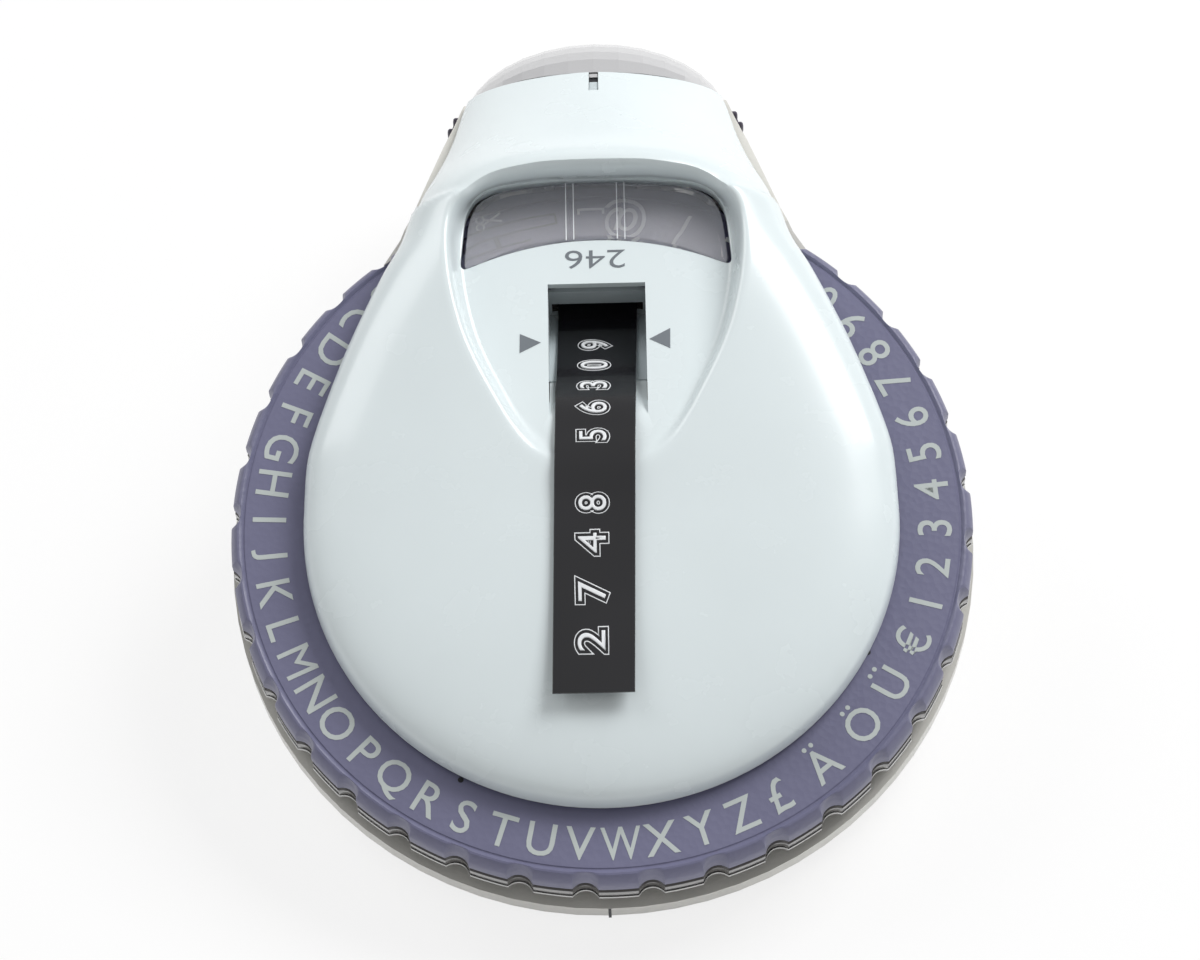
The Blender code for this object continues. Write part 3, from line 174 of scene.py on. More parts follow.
def crown(y):
    """Height of the cover along its centre line, without the sunk panel."""
    if y < 0:
        return CROWN_FRONT_Z + (CREST_Z - CROWN_FRONT_Z) / CREST_Y * y / 2
    table = (
        (0.0, CROWN_FRONT_Z),
        (CREST_Y / 2, (CROWN_FRONT_Z + CREST_Z) / 2 - (CREST_Z - CROWN_FRONT_Z) / 10),
        (CREST_Y - PANEL_REAR_L / 2, CREST_Z - (CREST_Z - CROWN_FRONT_Z) / 9),
        (CREST_Y, CREST_Z),
        (CREST_Y + (SEAM_Y - CREST_Y) / 6, CREST_Z + (SEAM_Z - CREST_Z) / 11),
        (CREST_Y + (SEAM_Y - CREST_Y) / 3, CREST_Z + (SEAM_Z - CREST_Z) * 2 / 7),
        (SEAM_Y, SEAM_Z),
    )
    return smooth_value(table, y)


def parting(y):
    share = (y - PARTING_FRONT_Y) / (SEAM_Y - PARTING_FRONT_Y)
    return PARTING_FRONT_Z + (PARTING_REAR_Z - PARTING_FRONT_Z) * share


def cover_edge(y):
    """Height of the cover's lower edge: over the dial in front, down to the parting line at the tail."""
    drop = smooth_step((y - COVER_DROP_Y) / (PARTING_FRONT_Y - COVER_DROP_Y))
    return COVER_LIFT + (parting(max(y, PARTING_FRONT_Y)) - COVER_LIFT) * drop


def dome(x, y):
    """Height of the cover's outer face without the sunk panel."""
    share = abs(x) / half_width(y) if y > 0 else math.hypot(x, y) / COVER_R
    blend = smooth_step((y - PANEL_Y / 2) / (SEAM_Y - PANEL_Y / 2))
    power = FRONT_ROUND_POWER + (TAIL_ROUND_POWER - FRONT_ROUND_POWER) * blend
    rounding = max(1 - min(share, 1) ** power, 0.0) ** (1 / power)
    edge = cover_edge(y)
    return edge + (crown(y) - edge) * rounding


def panel_floor(y):
    return PANEL_REAR_Z + (PANEL_FRONT_Z - PANEL_REAR_Z) * (PANEL_Y - y) / PANEL_FRONT_L


def ramp(y):
    """Height of the tape ramp, which climbs from under the panel to its face."""
    rise = (panel_floor(SLOT_FRONT_Y) - TAPE_Z + TAPE_SLIT) / (SLOT_REAR_Y - SLOT_FRONT_Y)
    return TAPE_Z - TAPE_SLIT + (SLOT_REAR_Y - y) * rise


# ---- Materials -------------------------------------------------------------------------------------------

def shader_material(name, colour, roughness, **sockets):
    """A Principled material whose plain numbers sit on its own sockets."""
    material = bpy.data.materials.new(name)
    material.use_nodes = True
    shader = material.node_tree.nodes["Principled BSDF"]
    shader.inputs["Base Color"].default_value = (*colour, 1.0)
    shader.inputs["Roughness"].default_value = roughness
    for socket, value in sockets.items():
        shader.inputs[socket.replace("_", " ")].default_value = value
    return material


def linked(material, kind, settings=(), **inputs):
    """A new node in the material, with its settings and its input values or links."""
    node = material.node_tree.nodes.new(kind)
    for name, value in dict(settings).items():
        setattr(node, name, value)
    for name, value in inputs.items():
        socket = node.inputs[name.replace("_", " ")]
        if isinstance(value, bpy.types.NodeSocket):
            material.node_tree.links.new(value, socket)
        else:
            socket.default_value = value
    return node


def surface_detail(material, colour, tints, tint_scale, gloss_range, grain_scale, grain_depth, worn=None):
    """Mottles a material's colour and gloss a little, and gives it a moulded grain in metres of depth."""
    links = material.node_tree.links
    shader = material.node_tree.nodes["Principled BSDF"]
    place = linked(material, "ShaderNodeTexCoord").outputs["Object"]
    cloud = linked(material, "ShaderNodeTexNoise", Vector=place, Scale=tint_scale, Detail=3.0)
    tint = linked(material, "ShaderNodeValToRGB", Fac=cloud.outputs["Fac"])
    for stop, share in zip(tint.color_ramp.elements, tints):
        stop.color = (*[min(part * share, 1.0) for part in colour], 1.0)
    tint.color_ramp.elements[0].position = 0.3
    tint.color_ramp.elements[1].position = 0.7
    base = tint.outputs["Color"]
    if worn:
        point = linked(material, "ShaderNodeNewGeometry").outputs["Pointiness"]
        edge = linked(material, "ShaderNodeValToRGB", Fac=point)
        edge.color_ramp.elements[0].position = 0.53
        edge.color_ramp.elements[1].position = 0.60
        mix = linked(
            material, "ShaderNodeMixRGB", Fac=edge.outputs["Color"], Color1=base, Color2=(*worn, 1.0)
        )
        base = mix.outputs["Color"]
    links.new(base, shader.inputs["Base Color"])
    smear = linked(material, "ShaderNodeTexNoise", Vector=place, Scale=tint_scale * 2.7, Detail=4.0)
    low, high = gloss_range
    gloss = linked(material, "ShaderNodeMapRange", Value=smear.outputs["Fac"], To_Min=low, To_Max=high)
    links.new(gloss.outputs["Result"], shader.inputs["Roughness"])
    if grain_depth:
        grain = linked(material, "ShaderNodeTexVoronoi", Vector=place, Scale=grain_scale)
        height = grain.outputs["Distance"]
        bump = linked(material, "ShaderNodeBump", Height=height, Distance=grain_depth, Strength=0.6)
        links.new(bump.outputs["Normal"], shader.inputs["Normal"])
    return material


def plastic(name, colour, roughness, tints=(0.985, 1.015), grain=(0, 0), worn=None, spread=0.25, **sockets):
    material = shader_material(name, colour, roughness, **sockets)
    span = (roughness * (1 - spread), roughness * (1 + spread))
    return surface_detail(material, colour, tints, 60.0, span, grain[0], grain[1], worn)


COVER_COLOUR = (0.72, 0.79, 0.805)
BASE_COLOUR = (0.66, 0.65, 0.61)
DIAL_COLOUR = (0.15, 0.15, 0.24)
PRINT_COLOUR = (0.46, 0.50, 0.49)
MARK_COLOUR = (0.15, 0.17, 0.19)

cover_plastic = plastic("pale_blue_gloss", COVER_COLOUR, 0.26, Coat_Weight=0.15, Coat_Roughness=0.1)
base_plastic = plastic("warm_grey_shell", BASE_COLOUR, 0.32, (0.97, 1.02), (2600.0, 0.00002))
dial_plastic = plastic("purple_grained", DIAL_COLOUR, 0.42, (0.94, 1.05), (1300.0, 0.00005))
smoked_plastic = plastic("smoked_ring", (0.06, 0.055, 0.055), 0.18, Coat_Weight=0.4, Coat_Roughness=0.08)
door_plastic = plastic("milky_door", (0.47, 0.47, 0.48), 0.18, Coat_Weight=0.5, Coat_Roughness=0.05)
tape_plastic = plastic("black_tape_gloss", (0.012, 0.012, 0.014), 0.16, (0.8, 1.2), Coat_Weight=0.5)
coil_plastic = plastic("wound_tape", (0.02, 0.02, 0.022), 0.3, (0.7, 1.3))
white_stress = plastic("stressed_white", (0.80, 0.82, 0.84), 0.3, (0.9, 1.05))
print_ink = plastic("letter_ink", PRINT_COLOUR, 0.5, (0.95, 1.05))
mark_ink = plastic("mark_ink", MARK_COLOUR, 0.5, (0.95, 1.05))
lip_plastic = plastic("clear_lip", (0.55, 0.55, 0.54), 0.1, (0.85, 1.1), Coat_Weight=0.5)
# Black that paints the shade in the notch's square hole and inside the base's front seam; the two dots on the dial
# are black marks in it too.
painted_shade_and_dot_ink = plastic("black_painted_shade_and_dot_ink", (0.012, 0.012, 0.016), 0.6, (0.9, 1.1))
# A brighter copy of the letter ink: painted light on the signs under the window, where the dial lies in shade under
# the lens.
ink_painted_light = plastic("sign_ink_painted_light", (0.86, 0.88, 0.86), 0.5, (0.95, 1.05))
# Dark strokes that paint the shade of the tape sign moulded on the dial.
sign_relief_painted_shade = plastic("raised_sign_painted_shade", (0.035, 0.03, 0.06), 0.4, (0.95, 1.05))
# Pale strips that paint the highlights on the edges of the lens's two ribs.
rib_painted_highlight = plastic("rib_edge_painted_highlight", (0.85, 0.87, 0.90), 0.15, (0.97, 1.03))
# A darker copy of the cover's colour: painted shade on the tape chute and the notch's groove.
cover_painted_shade = plastic("shaded_cover", (0.50, 0.56, 0.58), 0.3, (0.96, 1.03), (2600.0, 0.00001))
# Plum of the latches; the window's dark sheet uses it too, as painted shade.
dark_plastic = plastic("latch_plum_and_painted_shade", (0.07, 0.06, 0.09), 0.4, (0.9, 1.1), (2200.0, 0.00002))
natural_plastic = plastic("natural_acetal", (0.62, 0.62, 0.58), 0.38, (0.96, 1.03), (2600.0, 0.00001))
foot_rubber = plastic("foot_rubber", (0.03, 0.03, 0.03), 0.75, (0.8, 1.2), (1800.0, 0.00004))
steel = plastic("brushed_steel", (0.56, 0.56, 0.57), 0.3, (0.95, 1.05), (4000.0, 0.00001), Metallic=1.0)
lens_plastic = plastic("lens", (0.95, 0.95, 1.0), 0.04, Transmission_Weight=0.78, IOR=1.2)

FINISH_OF_SLOT = {
    "pale_blue_plastic": cover_plastic,
    "warm_grey_plastic": base_plastic,
    "purple_plastic": dial_plastic,
    "smoked_plastic": smoked_plastic,
    "clear_lens": lens_plastic,
    "milky_door_plastic": door_plastic,
    "black_tape": coil_plastic,
    "dark_plastic": dark_plastic,
    "natural_plastic": natural_plastic,
    "rubber": foot_rubber,
    "steel": steel,
}
# The tape chute takes the cover's colour with painted shade instead of its slot's finish.
FINISH_OF_NODE = {"tape_chute": cover_painted_shade}


def dress_cad_nodes():
    """Every CAD node gets the finish of its slot, apart from the tape chute, which gets a darker copy of the cover's
    colour as painted shade. Its mesh stays as packed, so its facets stay flat.
    """
    slots = {part["node"]: part["material_slot"] for part in frame["record"]["subparts"]}
    for name, node in nodes.items():
        node.data.materials.clear()
        node.data.materials.append(FINISH_OF_NODE.get(name) or FINISH_OF_SLOT[slots[name]])


# ---- Mesh helpers ----------------------------------------------------------------------------------------

def piece(name, points, faces, material, body, sharp=32):
    """A mesh piece from points in the dial frame, riding on a body."""
    mesh = bpy.data.meshes.new(name)
    mesh.from_pydata([DIAL_FRAME @ Vector(point) for point in points], [], faces)
    work = bmesh.new()
    work.from_mesh(mesh)
    bmesh.ops.recalc_face_normals(work, faces=work.faces)
    work.to_mesh(mesh)
    work.free()
    mesh.shade_smooth()
    mesh.set_sharp_from_angle(angle=math.radians(sharp))
    thing = bpy.data.objects.new(name, mesh)
    bpy.context.collection.objects.link(thing)
    if material:
        mesh.materials.append(material)
    if body:
        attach(thing, body)
    return thing


def lofted(loops, caps=True):
    """Points and faces of a skin through closed loops of equal length."""
    count = len(loops[0])
    points = [point for loop in loops for point in loop]
    faces = []
    for k in range(len(loops) - 1):
        for i in range(count):
            j = (i + 1) % count
            faces.append((k * count + i, k * count + j, (k + 1) * count + j, (k + 1) * count + i))
    if caps:
        faces += [tuple(range(count)), tuple(range(len(points) - count, len(points)))]
    return points, faces


def prism(outline, low, high):
    """A solid of an XY outline. low and high are heights, or functions of y."""
    bottom = low if callable(low) else (lambda y: low)
    top = high if callable(high) else (lambda y: high)
    return lofted([[(x, y, bottom(y)) for x, y in outline], [(x, y, top(y)) for x, y in outline]])


def rectangle(half_width_x, front, rear):
    """The corners of a rectangle about the middle line."""
    return [(-half_width_x, front), (half_width_x, front), (half_width_x, rear), (-half_width_x, rear)]


def take_away(target, points, faces):
    """Cuts a solid out of the target for good."""
    cutter = piece("cutter", points, faces, None, None)
    modifier = target.modifiers.new("cut", "BOOLEAN")
    modifier.operation = "DIFFERENCE"
    modifier.object = cutter
    modifier.solver = "EXACT"
    settle(target)
    bpy.data.objects.remove(cutter)


def settle(target):
    """Applies the target's modifiers to its mesh."""
    graph = bpy.context.evaluated_depsgraph_get()
    mesh = bpy.data.meshes.new_from_object(target.evaluated_get(graph))
    target.modifiers.clear()
    target.data = mesh


# ---- Cover -----------------------------------------------------------------------------------------------

LOOP_STEPS = 240
DOME_SHARES = (
    0.0, 0.006, 0.014, 0.026, 0.042, 0.062, 0.088, 0.12, 0.16, 0.21, 0.27, 0.34, 0.42, 0.50, 0.58,
    0.66, 0.74, 0.81, 0.87, 0.92, 0.96, 1.0,
)
FLOOR_SHARES = (0.8, 0.55, 0.3, 0.12)
COVER_CENTRE_Y = PANEL_Y * 0.7
# Across the panel's wall: how far out of its edge, and the share of the drop to its floor
WALL_PROFILE = (
    (2.2, 0.0), (1.5, 0.015), (0.95, 0.06), (0.55, 0.16), (0.2, 0.34), (-0.1, 0.56), (-0.4, 0.76),
    (-0.75, 0.90), (-1.2, 0.975), (-1.8, 1.0),
)
# The wall's width as a share of that profile at the sides, and what comes to it over FRONT_WALL_L in front
WALL_SHARE = 0.62
FRONT_WALL_MORE = 0.6
FRONT_WALL_Y = 12
FRONT_WALL_L = 8
# Behind the window, from STEEP_Y on, the wall hangs over: its brink moves in by HANG, and its foot out with the drop
STEEP_Y = 35.5
STEEP_L = 4.5
HANG = 0.9
HANG_SHARE = 0.3
HANG_REACH = 3.2
HANG_MIDDLE = 0.45
COVER_SHARP = 50
PANEL_PASSES = 60
WINDOW_PASSES = 14
WINDOW_STEPS = 240
WINDOW_BULGE = 0.65


def cover_outline():
    """The cover's edge seen from above, as points at even angles about (0, COVER_CENTRE_Y)."""
    points = []
    for i in range(LOOP_STEPS):
        angle = 2 * math.pi * i / LOOP_STEPS
        dx, dy = math.cos(angle), math.sin(angle)
        low, high = 0.0, 2 * SEAM_Y
        for _ in range(40):
            reach = (low + high) / 2
            x, y = dx * reach, COVER_CENTRE_Y + dy * reach
            inside = y < SEAM_Y and (abs(x) < half_width(y) if y > 0 else math.hypot(x, y) < COVER_R)
            low, high = (reach, high) if inside else (low, reach)
        points.append((dx * low, COVER_CENTRE_Y + dy * low))
    return points


def even_points(line, count):
    """Points at even steps along a closed line."""
    closed = line + [line[0]]
    lengths = [0.0]
    for a, b in zip(closed, closed[1:]):
        lengths.append(lengths[-1] + math.dist(a, b))
    found, k = [], 0
    for i in range(count):
        at = lengths[-1] * i / count
        while lengths[k + 1] < at:
            k += 1
        share = (at - lengths[k]) / (lengths[k + 1] - lengths[k])
        a, b = closed[k], closed[k + 1]
        found.append((a[0] + (b[0] - a[0]) * share, a[1] + (b[1] - a[1]) * share))
    return found


def smoothed(line, passes):
    """A closed line with each point drawn towards its neighbours, passes times."""
    count = len(line)
    for _ in range(passes):
        line = [
            tuple((line[i - 1][k] + 2 * line[i][k] + line[(i + 1) % count][k]) / 4 for k in (0, 1))
            for i in range(count)
        ]
    return line


def panel_edge():
    """The panel's edge as a smooth closed line, from its front on the right round to its front on the left."""
    right = []
    for k in range(60):
        y = PANEL_EDGE[0][0] + (PANEL_EDGE[-1][0] - PANEL_EDGE[0][0]) * k / 59
        right.append((smooth_value(PANEL_EDGE, y), y))
    line = right + [(-x, y) for x, y in reversed(right)]
    return smoothed(even_points(line, 3 * LOOP_STEPS), PANEL_PASSES)


def at_angles(line):
    """The points where rays at even angles from (0, COVER_CENTRE_Y) leave a closed line."""
    found = []
    for i in range(LOOP_STEPS):
        angle = 2 * math.pi * i / LOOP_STEPS
        direction = Vector((math.cos(angle), math.sin(angle)))

        def turn(point):
            return direction.x * (point[1] - COVER_CENTRE_Y) - direction.y * point[0]

        for a, b in zip(line, line[1:] + line[:1]):
            if turn(a) <= 0 < turn(b) and direction.dot(Vector((a[0], a[1] - COVER_CENTRE_Y))) > 0:
                share = turn(a) / (turn(a) - turn(b))
                found.append((a[0] + (b[0] - a[0]) * share, a[1] + (b[1] - a[1]) * share))
                break
    return found


def outward(loop, i):
    """The outward normal of a closed loop at a point."""
    before, after = loop[i - 1], loop[(i + 1) % len(loop)]
    along = Vector((after[0] - before[0], after[1] - before[1])).normalized()
    return Vector((along.y, -along.x))


def wall_point(point, normal, out, drop):
    """A point of the panel's wall. The wall hangs over a little behind the window and is soft elsewhere."""
    steep = smooth_step((point[1] - STEEP_Y) / STEEP_L)
    hung = out - HANG if out > 0 else HANG_SHARE * out + HANG_REACH * (drop - HANG_MIDDLE) - HANG
    share = WALL_SHARE + FRONT_WALL_MORE * smooth_step((FRONT_WALL_Y - point[1]) / FRONT_WALL_L)
    out = share * out * (1 - steep) + hung * steep
    return point[0] + normal.x * out, point[1] + normal.y * out


def make_cover():
    """The top shell: dome, panel wall and panel floor in one skin, then its wall, window, slot and notch."""
    border = cover_outline()
    edge = at_angles(panel_edge())
    normals = [outward(edge, i) for i in range(LOOP_STEPS)]
    brink = [wall_point(p, n, WALL_PROFILE[0][0], 0.0) for p, n in zip(edge, normals)]
    loops = []
    for share in DOME_SHARES[:-1]:
        loop = []
        for (x0, y0), (x1, y1) in zip(border, brink):
            x, y = x0 + (x1 - x0) * share, y0 + (y1 - y0) * share
            loop.append((x, y, dome(x, y)))
        loops.append(loop)
    for out, drop in WALL_PROFILE:
        loop = []
        for (px, py), n in zip(edge, normals):
            x, y = wall_point((px, py), n, out, drop)
            high = dome(x, y)
            low = min(panel_floor(y), high)
            loop.append((x, y, high + (low - high) * drop))
        loops.append(loop)
    last = loops[-1]
    for share in FLOOR_SHARES:
        loop = []
        for x, y, _ in last:
            fx, fy = x * share, COVER_CENTRE_Y + (y - COVER_CENTRE_Y) * share
            loop.append((fx, fy, panel_floor(fy)))
        loops.append(loop)
    points, faces = lofted(loops, caps=False)
    faces.append(tuple(range(len(points) - LOOP_STEPS, len(points))))
    cover = piece("cover_shell", points, faces, cover_plastic, None, COVER_SHARP)
    wall = cover.modifiers.new("wall", "SOLIDIFY")
    wall.thickness = COVER_WALL * 0.001
    wall.offset = -1
    wall.use_even_offset = False
    settle(cover)
    opening = smooth_window(0)
    take_away(cover, *prism(opening, lambda y: panel_floor(y) - 12, lambda y: panel_floor(y) + LENS_T))
    front, above = SLOT_FRONT_Y - 4, 20
    slot = [(SLOT_REAR_Y, ramp(SLOT_REAR_Y)), (SLOT_REAR_Y, above), (front, above), (front, ramp(front))]
    take_away(cover, *lofted([[(side * SLOT_HALF_W, y, z) for y, z in slot] for side in (-1, 1)]))
    take_away(cover, *prism(rectangle(0.55, SEAM_Y - 4, SEAM_Y + 2), -20, 10))
    cover.data.materials.clear()
    cover.data.materials.append(cover_plastic)
    cover.data.shade_smooth()
    cover.data.set_sharp_from_angle(angle=math.radians(COVER_SHARP))
    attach(cover, "press_head")
    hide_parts("top_cover")


def window_outline(inset):
    """The window: an arc round the dial's axis in front, a flatter one at the rear and bulged corners."""
    radius = WINDOW_FRONT_R + inset
    shrink = 1 - inset / (WINDOW_FRONT_R * math.sin(WINDOW_HALF_ANGLE) / 2)
    arc = []
    for i in range(25):
        angle = math.pi / 2 + WINDOW_HALF_ANGLE * (i / 12 - 1)
        arc.append((shrink * radius * math.cos(angle), radius * math.sin(angle)))
    top = []
    for i in range(17):
        across = WINDOW_TOP_HALF_W * shrink * (i / 8 - 1)
        sag = (i / 8 - 1) ** 2 * (WINDOW_REAR_Y - CREST_Y) / 3
        top.append((across, WINDOW_REAR_Y - sag - inset))
    side_x = abs(arc[0][0]) - LENS_T / 2
    corner = (side_x, WINDOW_CORNER_Y - inset)
    bulge = ((side_x + top[-1][0]) / 2 + WINDOW_BULGE, (corner[1] + top[-1][1]) / 2 + WINDOW_BULGE)
    return arc + [(-corner[0], corner[1]), (-bulge[0], bulge[1])] + top + [bulge, corner]


def smooth_window(inset):
    """The window's outline with its corners rounded."""
    return smoothed(even_points(window_outline(inset), WINDOW_STEPS), WINDOW_PASSES)


# ---- Dial rings ------------------------------------------------------------------------------------------

def rim_radius(angle, radius, depth):
    """The rim's radius at an angle: hollow notches with a short round shoulder each side."""
    turn = ((angle - DIAL_TURN) / (2 * math.pi) * NOTCHES + 0.5) % 1.0 - 0.5
    reach = abs(turn) / (NOTCH_SHARE / 2)
    return radius - depth * (1 - reach ** 2) ** 0.6 if reach < 1 else radius


def notched_ring(name, profile, material, node):
    """A ring on the dial from rows of radius, height and notch depth. It stands for the CAD node, if one is named."""
    steps = NOTCHES * RING_STEPS_PER_NOTCH
    loops = []
    for radius, z, depth in profile:
        loop = []
        for i in range(steps):
            angle = 2 * math.pi * i / steps
            r = rim_radius(angle, radius, depth)
            loop.append((r * math.cos(angle), r * math.sin(angle), z))
        loops.append(loop)
    points, faces = lofted(loops + [loops[0]], caps=False)
    count = steps * len(loops)
    faces = [tuple(corner % count for corner in face) for face in faces]
    ring = piece(name, points[:count], faces, material, "dial", 30)
    if node:
        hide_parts(node)


def make_dials():
    """The upper ring with its rounded rim, the smoked lower ring and the pale lip at its foot."""
    skirt = DIAL_R - 2.0
    bottom = LOWER_DIAL_TOP - LOWER_DIAL_H
    upper = (
        (DIAL_BORE_R, 0.0, 0), (DIAL_R - 1.62, 0.0, 0), (DIAL_R - 1.5, -0.1, 0), (DIAL_R - 1.38, -0.1, 0),
        (DIAL_R - 1.22, 0.06, 0), (DIAL_R - 1.0, 0.16, 0.1), (DIAL_R - 0.78, 0.12, 0.3),
        (DIAL_R - 0.55, -0.1, NOTCH_DEPTH * 0.6), (DIAL_R - 0.3, -0.55, NOTCH_DEPTH * 0.9),
        (DIAL_R - 0.1, -1.0, NOTCH_DEPTH), (DIAL_R, -1.5, NOTCH_DEPTH),
        (DIAL_R, -UPPER_DIAL_H, NOTCH_DEPTH), (skirt, -UPPER_DIAL_H, 0), (skirt, -1.5, 0),
        (DIAL_BORE_R, -1.5, 0),
    )
    lower = (
        (DIAL_BORE_R, LOWER_DIAL_TOP, 0), (DIAL_R - 0.3, LOWER_DIAL_TOP, NOTCH_DEPTH),
        (DIAL_R, LOWER_DIAL_TOP - 0.25, NOTCH_DEPTH), (DIAL_R, bottom + DIAL_BEVEL, NOTCH_DEPTH),
        (DIAL_R - 0.25, bottom + 0.2, NOTCH_DEPTH), (DIAL_R - DIAL_BEVEL, bottom, NOTCH_DEPTH),
        (DIAL_BORE_R, bottom, 0),
    )
    notched_ring("dial_upper_ring", upper, dial_plastic, "letter_dial")
    lip = (
        (DIAL_R - 0.25, bottom + 0.22, NOTCH_DEPTH), (DIAL_R + 0.03, bottom + 0.95, NOTCH_DEPTH),
        (DIAL_R + 0.08, bottom + 0.7, NOTCH_DEPTH), (DIAL_R - 0.1, bottom + 0.05, NOTCH_DEPTH),
    )
    notched_ring("dial_lower_lip", lip, lip_plastic, None)
    notched_ring("dial_lower_ring", lower, smoked_plastic, "lower_die_dial")


# ---- Lettering on the dial -------------------------------------------------------------------------------

CAP_SHARE = 0.7
# Letters set otherwise than the rest: how far in, and shares of the height and width
LETTER_CHANGES = {
    "W": (0.0, 1.0, 0.76), "J": (0.85, 0.8, 1.15), "Q": (0.25, 0.95, 0.97), "€": (0.0, 0.98, 0.92),
}
LETTER_BOLD = 0.025
PRINT_T = 0.04
STROKE_T = 0.03
PRINT_LIFT = 0.02
NUMERAL_Y = 31.9
FIRST_LETTER_ANGLE = math.radians(155.5 + 1.78)
LETTER_PITCH = math.radians(6.79)
BEFORE_F = "ABCDE"
# Each sign from F on, and its angle in degrees as the photograph shows it
BAND = (
    ("F", 155.5), ("G", 162.3), ("H", 168.9), ("I", 175.7), ("J", 182.5), ("K", 189.1), ("L", 195.9),
    ("M", 202.5), ("N", 209.2), ("O", 215.7), ("P", 222.8), ("Q", 229.4), ("R", 236.4), ("S", 243.3),
    ("T", 250.2), ("U", 257.0), ("V", 263.6), ("W", 270.5), ("X", 277.3), ("Y", 284.3), ("Z", 291.5),
    ("£", 298.4), ("Ä", 307.8), ("Ö", 317.7), ("Ü", 326.6), ("€", 335.1),
    ("1", 342.4), ("2", 349.2), ("3", 356.4), ("4", 3.5), ("5", 10.5), ("6", 17.2), ("7", 24.6),
    ("8", 31.1), ("9", 37.8), ("0", 44.4), (".", 51.0), ("&", 57.6), ("-", 64.2), ("/", 73.0), ("@", 83.0),
)


def text_curve(name, words, height, fineness):
    """A text curve whose capitals stand on the baseline and are this high."""
    curve = bpy.data.curves.new(name, "FONT")
    curve.body = words
    curve.size = height / CAP_SHARE
    curve.align_x = "CENTER"
    curve.align_y = "TOP_BASELINE"
    curve.resolution_u = fineness
    return curve


def text_piece(name, curve, place, lie, material, body, smooth=False):
    """A text curve as a mesh piece, turned by lie about its place in the dial frame."""
    text = bpy.data.objects.new(curve.name, curve)
    bpy.context.collection.objects.link(text)
    text.matrix_world = DIAL_FRAME @ Matrix.Translation(place) @ lie
    bpy.context.view_layer.update()
    mesh = bpy.data.meshes.new_from_object(text.evaluated_get(bpy.context.evaluated_depsgraph_get()))
    mesh.transform(text.matrix_world)
    mesh.materials.clear()
    mesh.materials.append(material)
    if smooth:
        mesh.shade_smooth()
    bpy.data.objects.remove(text)
    thing = bpy.data.objects.new(name, mesh)
    bpy.context.collection.objects.link(thing)
    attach(thing, body)


def flat_text(name, words, height, material, body, place, turn, bold, width, lean=0.0):
    """Printed words on a plane: place is of their baseline, turn its angle, lean the plane's about X."""
    curve = text_curve(name, words, height, 4)
    curve.extrude = PRINT_T / 2
    curve.offset = bold
    lie = Matrix.Rotation(lean, 4, "X") @ Matrix.Rotation(turn, 4, "Z") @ Matrix.Diagonal((width, 1, 1, 1))
    text_piece(name, curve, place, lie, material, body)


def make_letters():
    """The letters stand round the dial with their tops towards its middle."""
    for i, (letter, degrees) in enumerate(BAND):
        angle = math.radians(degrees) + CAMERA_YAW
        print_letter(f"dial_mark_{i:02d}", letter, angle)
    for i, letter in enumerate(reversed(BEFORE_F)):
        print_letter(f"dial_letter_{letter}", letter, FIRST_LETTER_ANGLE - (i + 1) * LETTER_PITCH)


def print_letter(name, letter, angle):
    """One printed letter. M takes no extra weight, because its fill breaks with it."""
    drop, height, width = LETTER_CHANGES.get(letter, (0.0, 1.0, 0.95))
    radius = BASELINE_R - drop
    place = (radius * math.cos(angle), radius * math.sin(angle), PRINT_LIFT)
    bold = 0.0 if letter == "M" else LETTER_BOLD
    # Signs under the window take the brighter ink, painted light against the shade under the lens.
    ink = ink_painted_light if letter in "/@-" else print_ink
    high, turn = LETTER_H * height, angle + math.pi / 2
    flat_text(name, letter, high, ink, "dial", place, turn, bold, width)


def polar(radius, degrees):
    """The (x, y) of a radius and an angle on the dial."""
    angle = math.radians(degrees)
    return (radius * math.cos(angle), radius * math.sin(angle))


def strokes(name, lines, width, height, material, body):
    """Flat strokes along open lines of (x, y) points. height is a function of y, or a number."""
    points, faces = [], []
    for line in lines:
        for a, b in zip(line, line[1:]):
            along = Vector((b[0] - a[0], b[1] - a[1])).normalized() * (width / 2)
            side = Vector((-along.y, along.x))
            a0, b0 = Vector(a) - along * 0.6, Vector(b) + along * 0.6
            outline = [a0 + side, a0 - side, b0 - side, b0 + side]
            corners = [tuple(corner) for corner in outline]
            new_points, new_faces = prism(corners, height, lambda y: level_at(height, y) + STROKE_T)
            faces += [tuple(len(points) + i for i in face) for face in new_faces]
            points += new_points
    return piece(name, points, faces, material, body)


def level_at(height, y):
    """A height that may be a number or a function of y."""
    return height(y) if callable(height) else height


def ring_line(centre, radius):
    """A circle as a line that ends where it starts."""
    angles = [2 * math.pi * i / 16 for i in range(17)]
    return [(centre[0] + radius * math.cos(angle), centre[1] + radius * math.sin(angle)) for angle in angles]


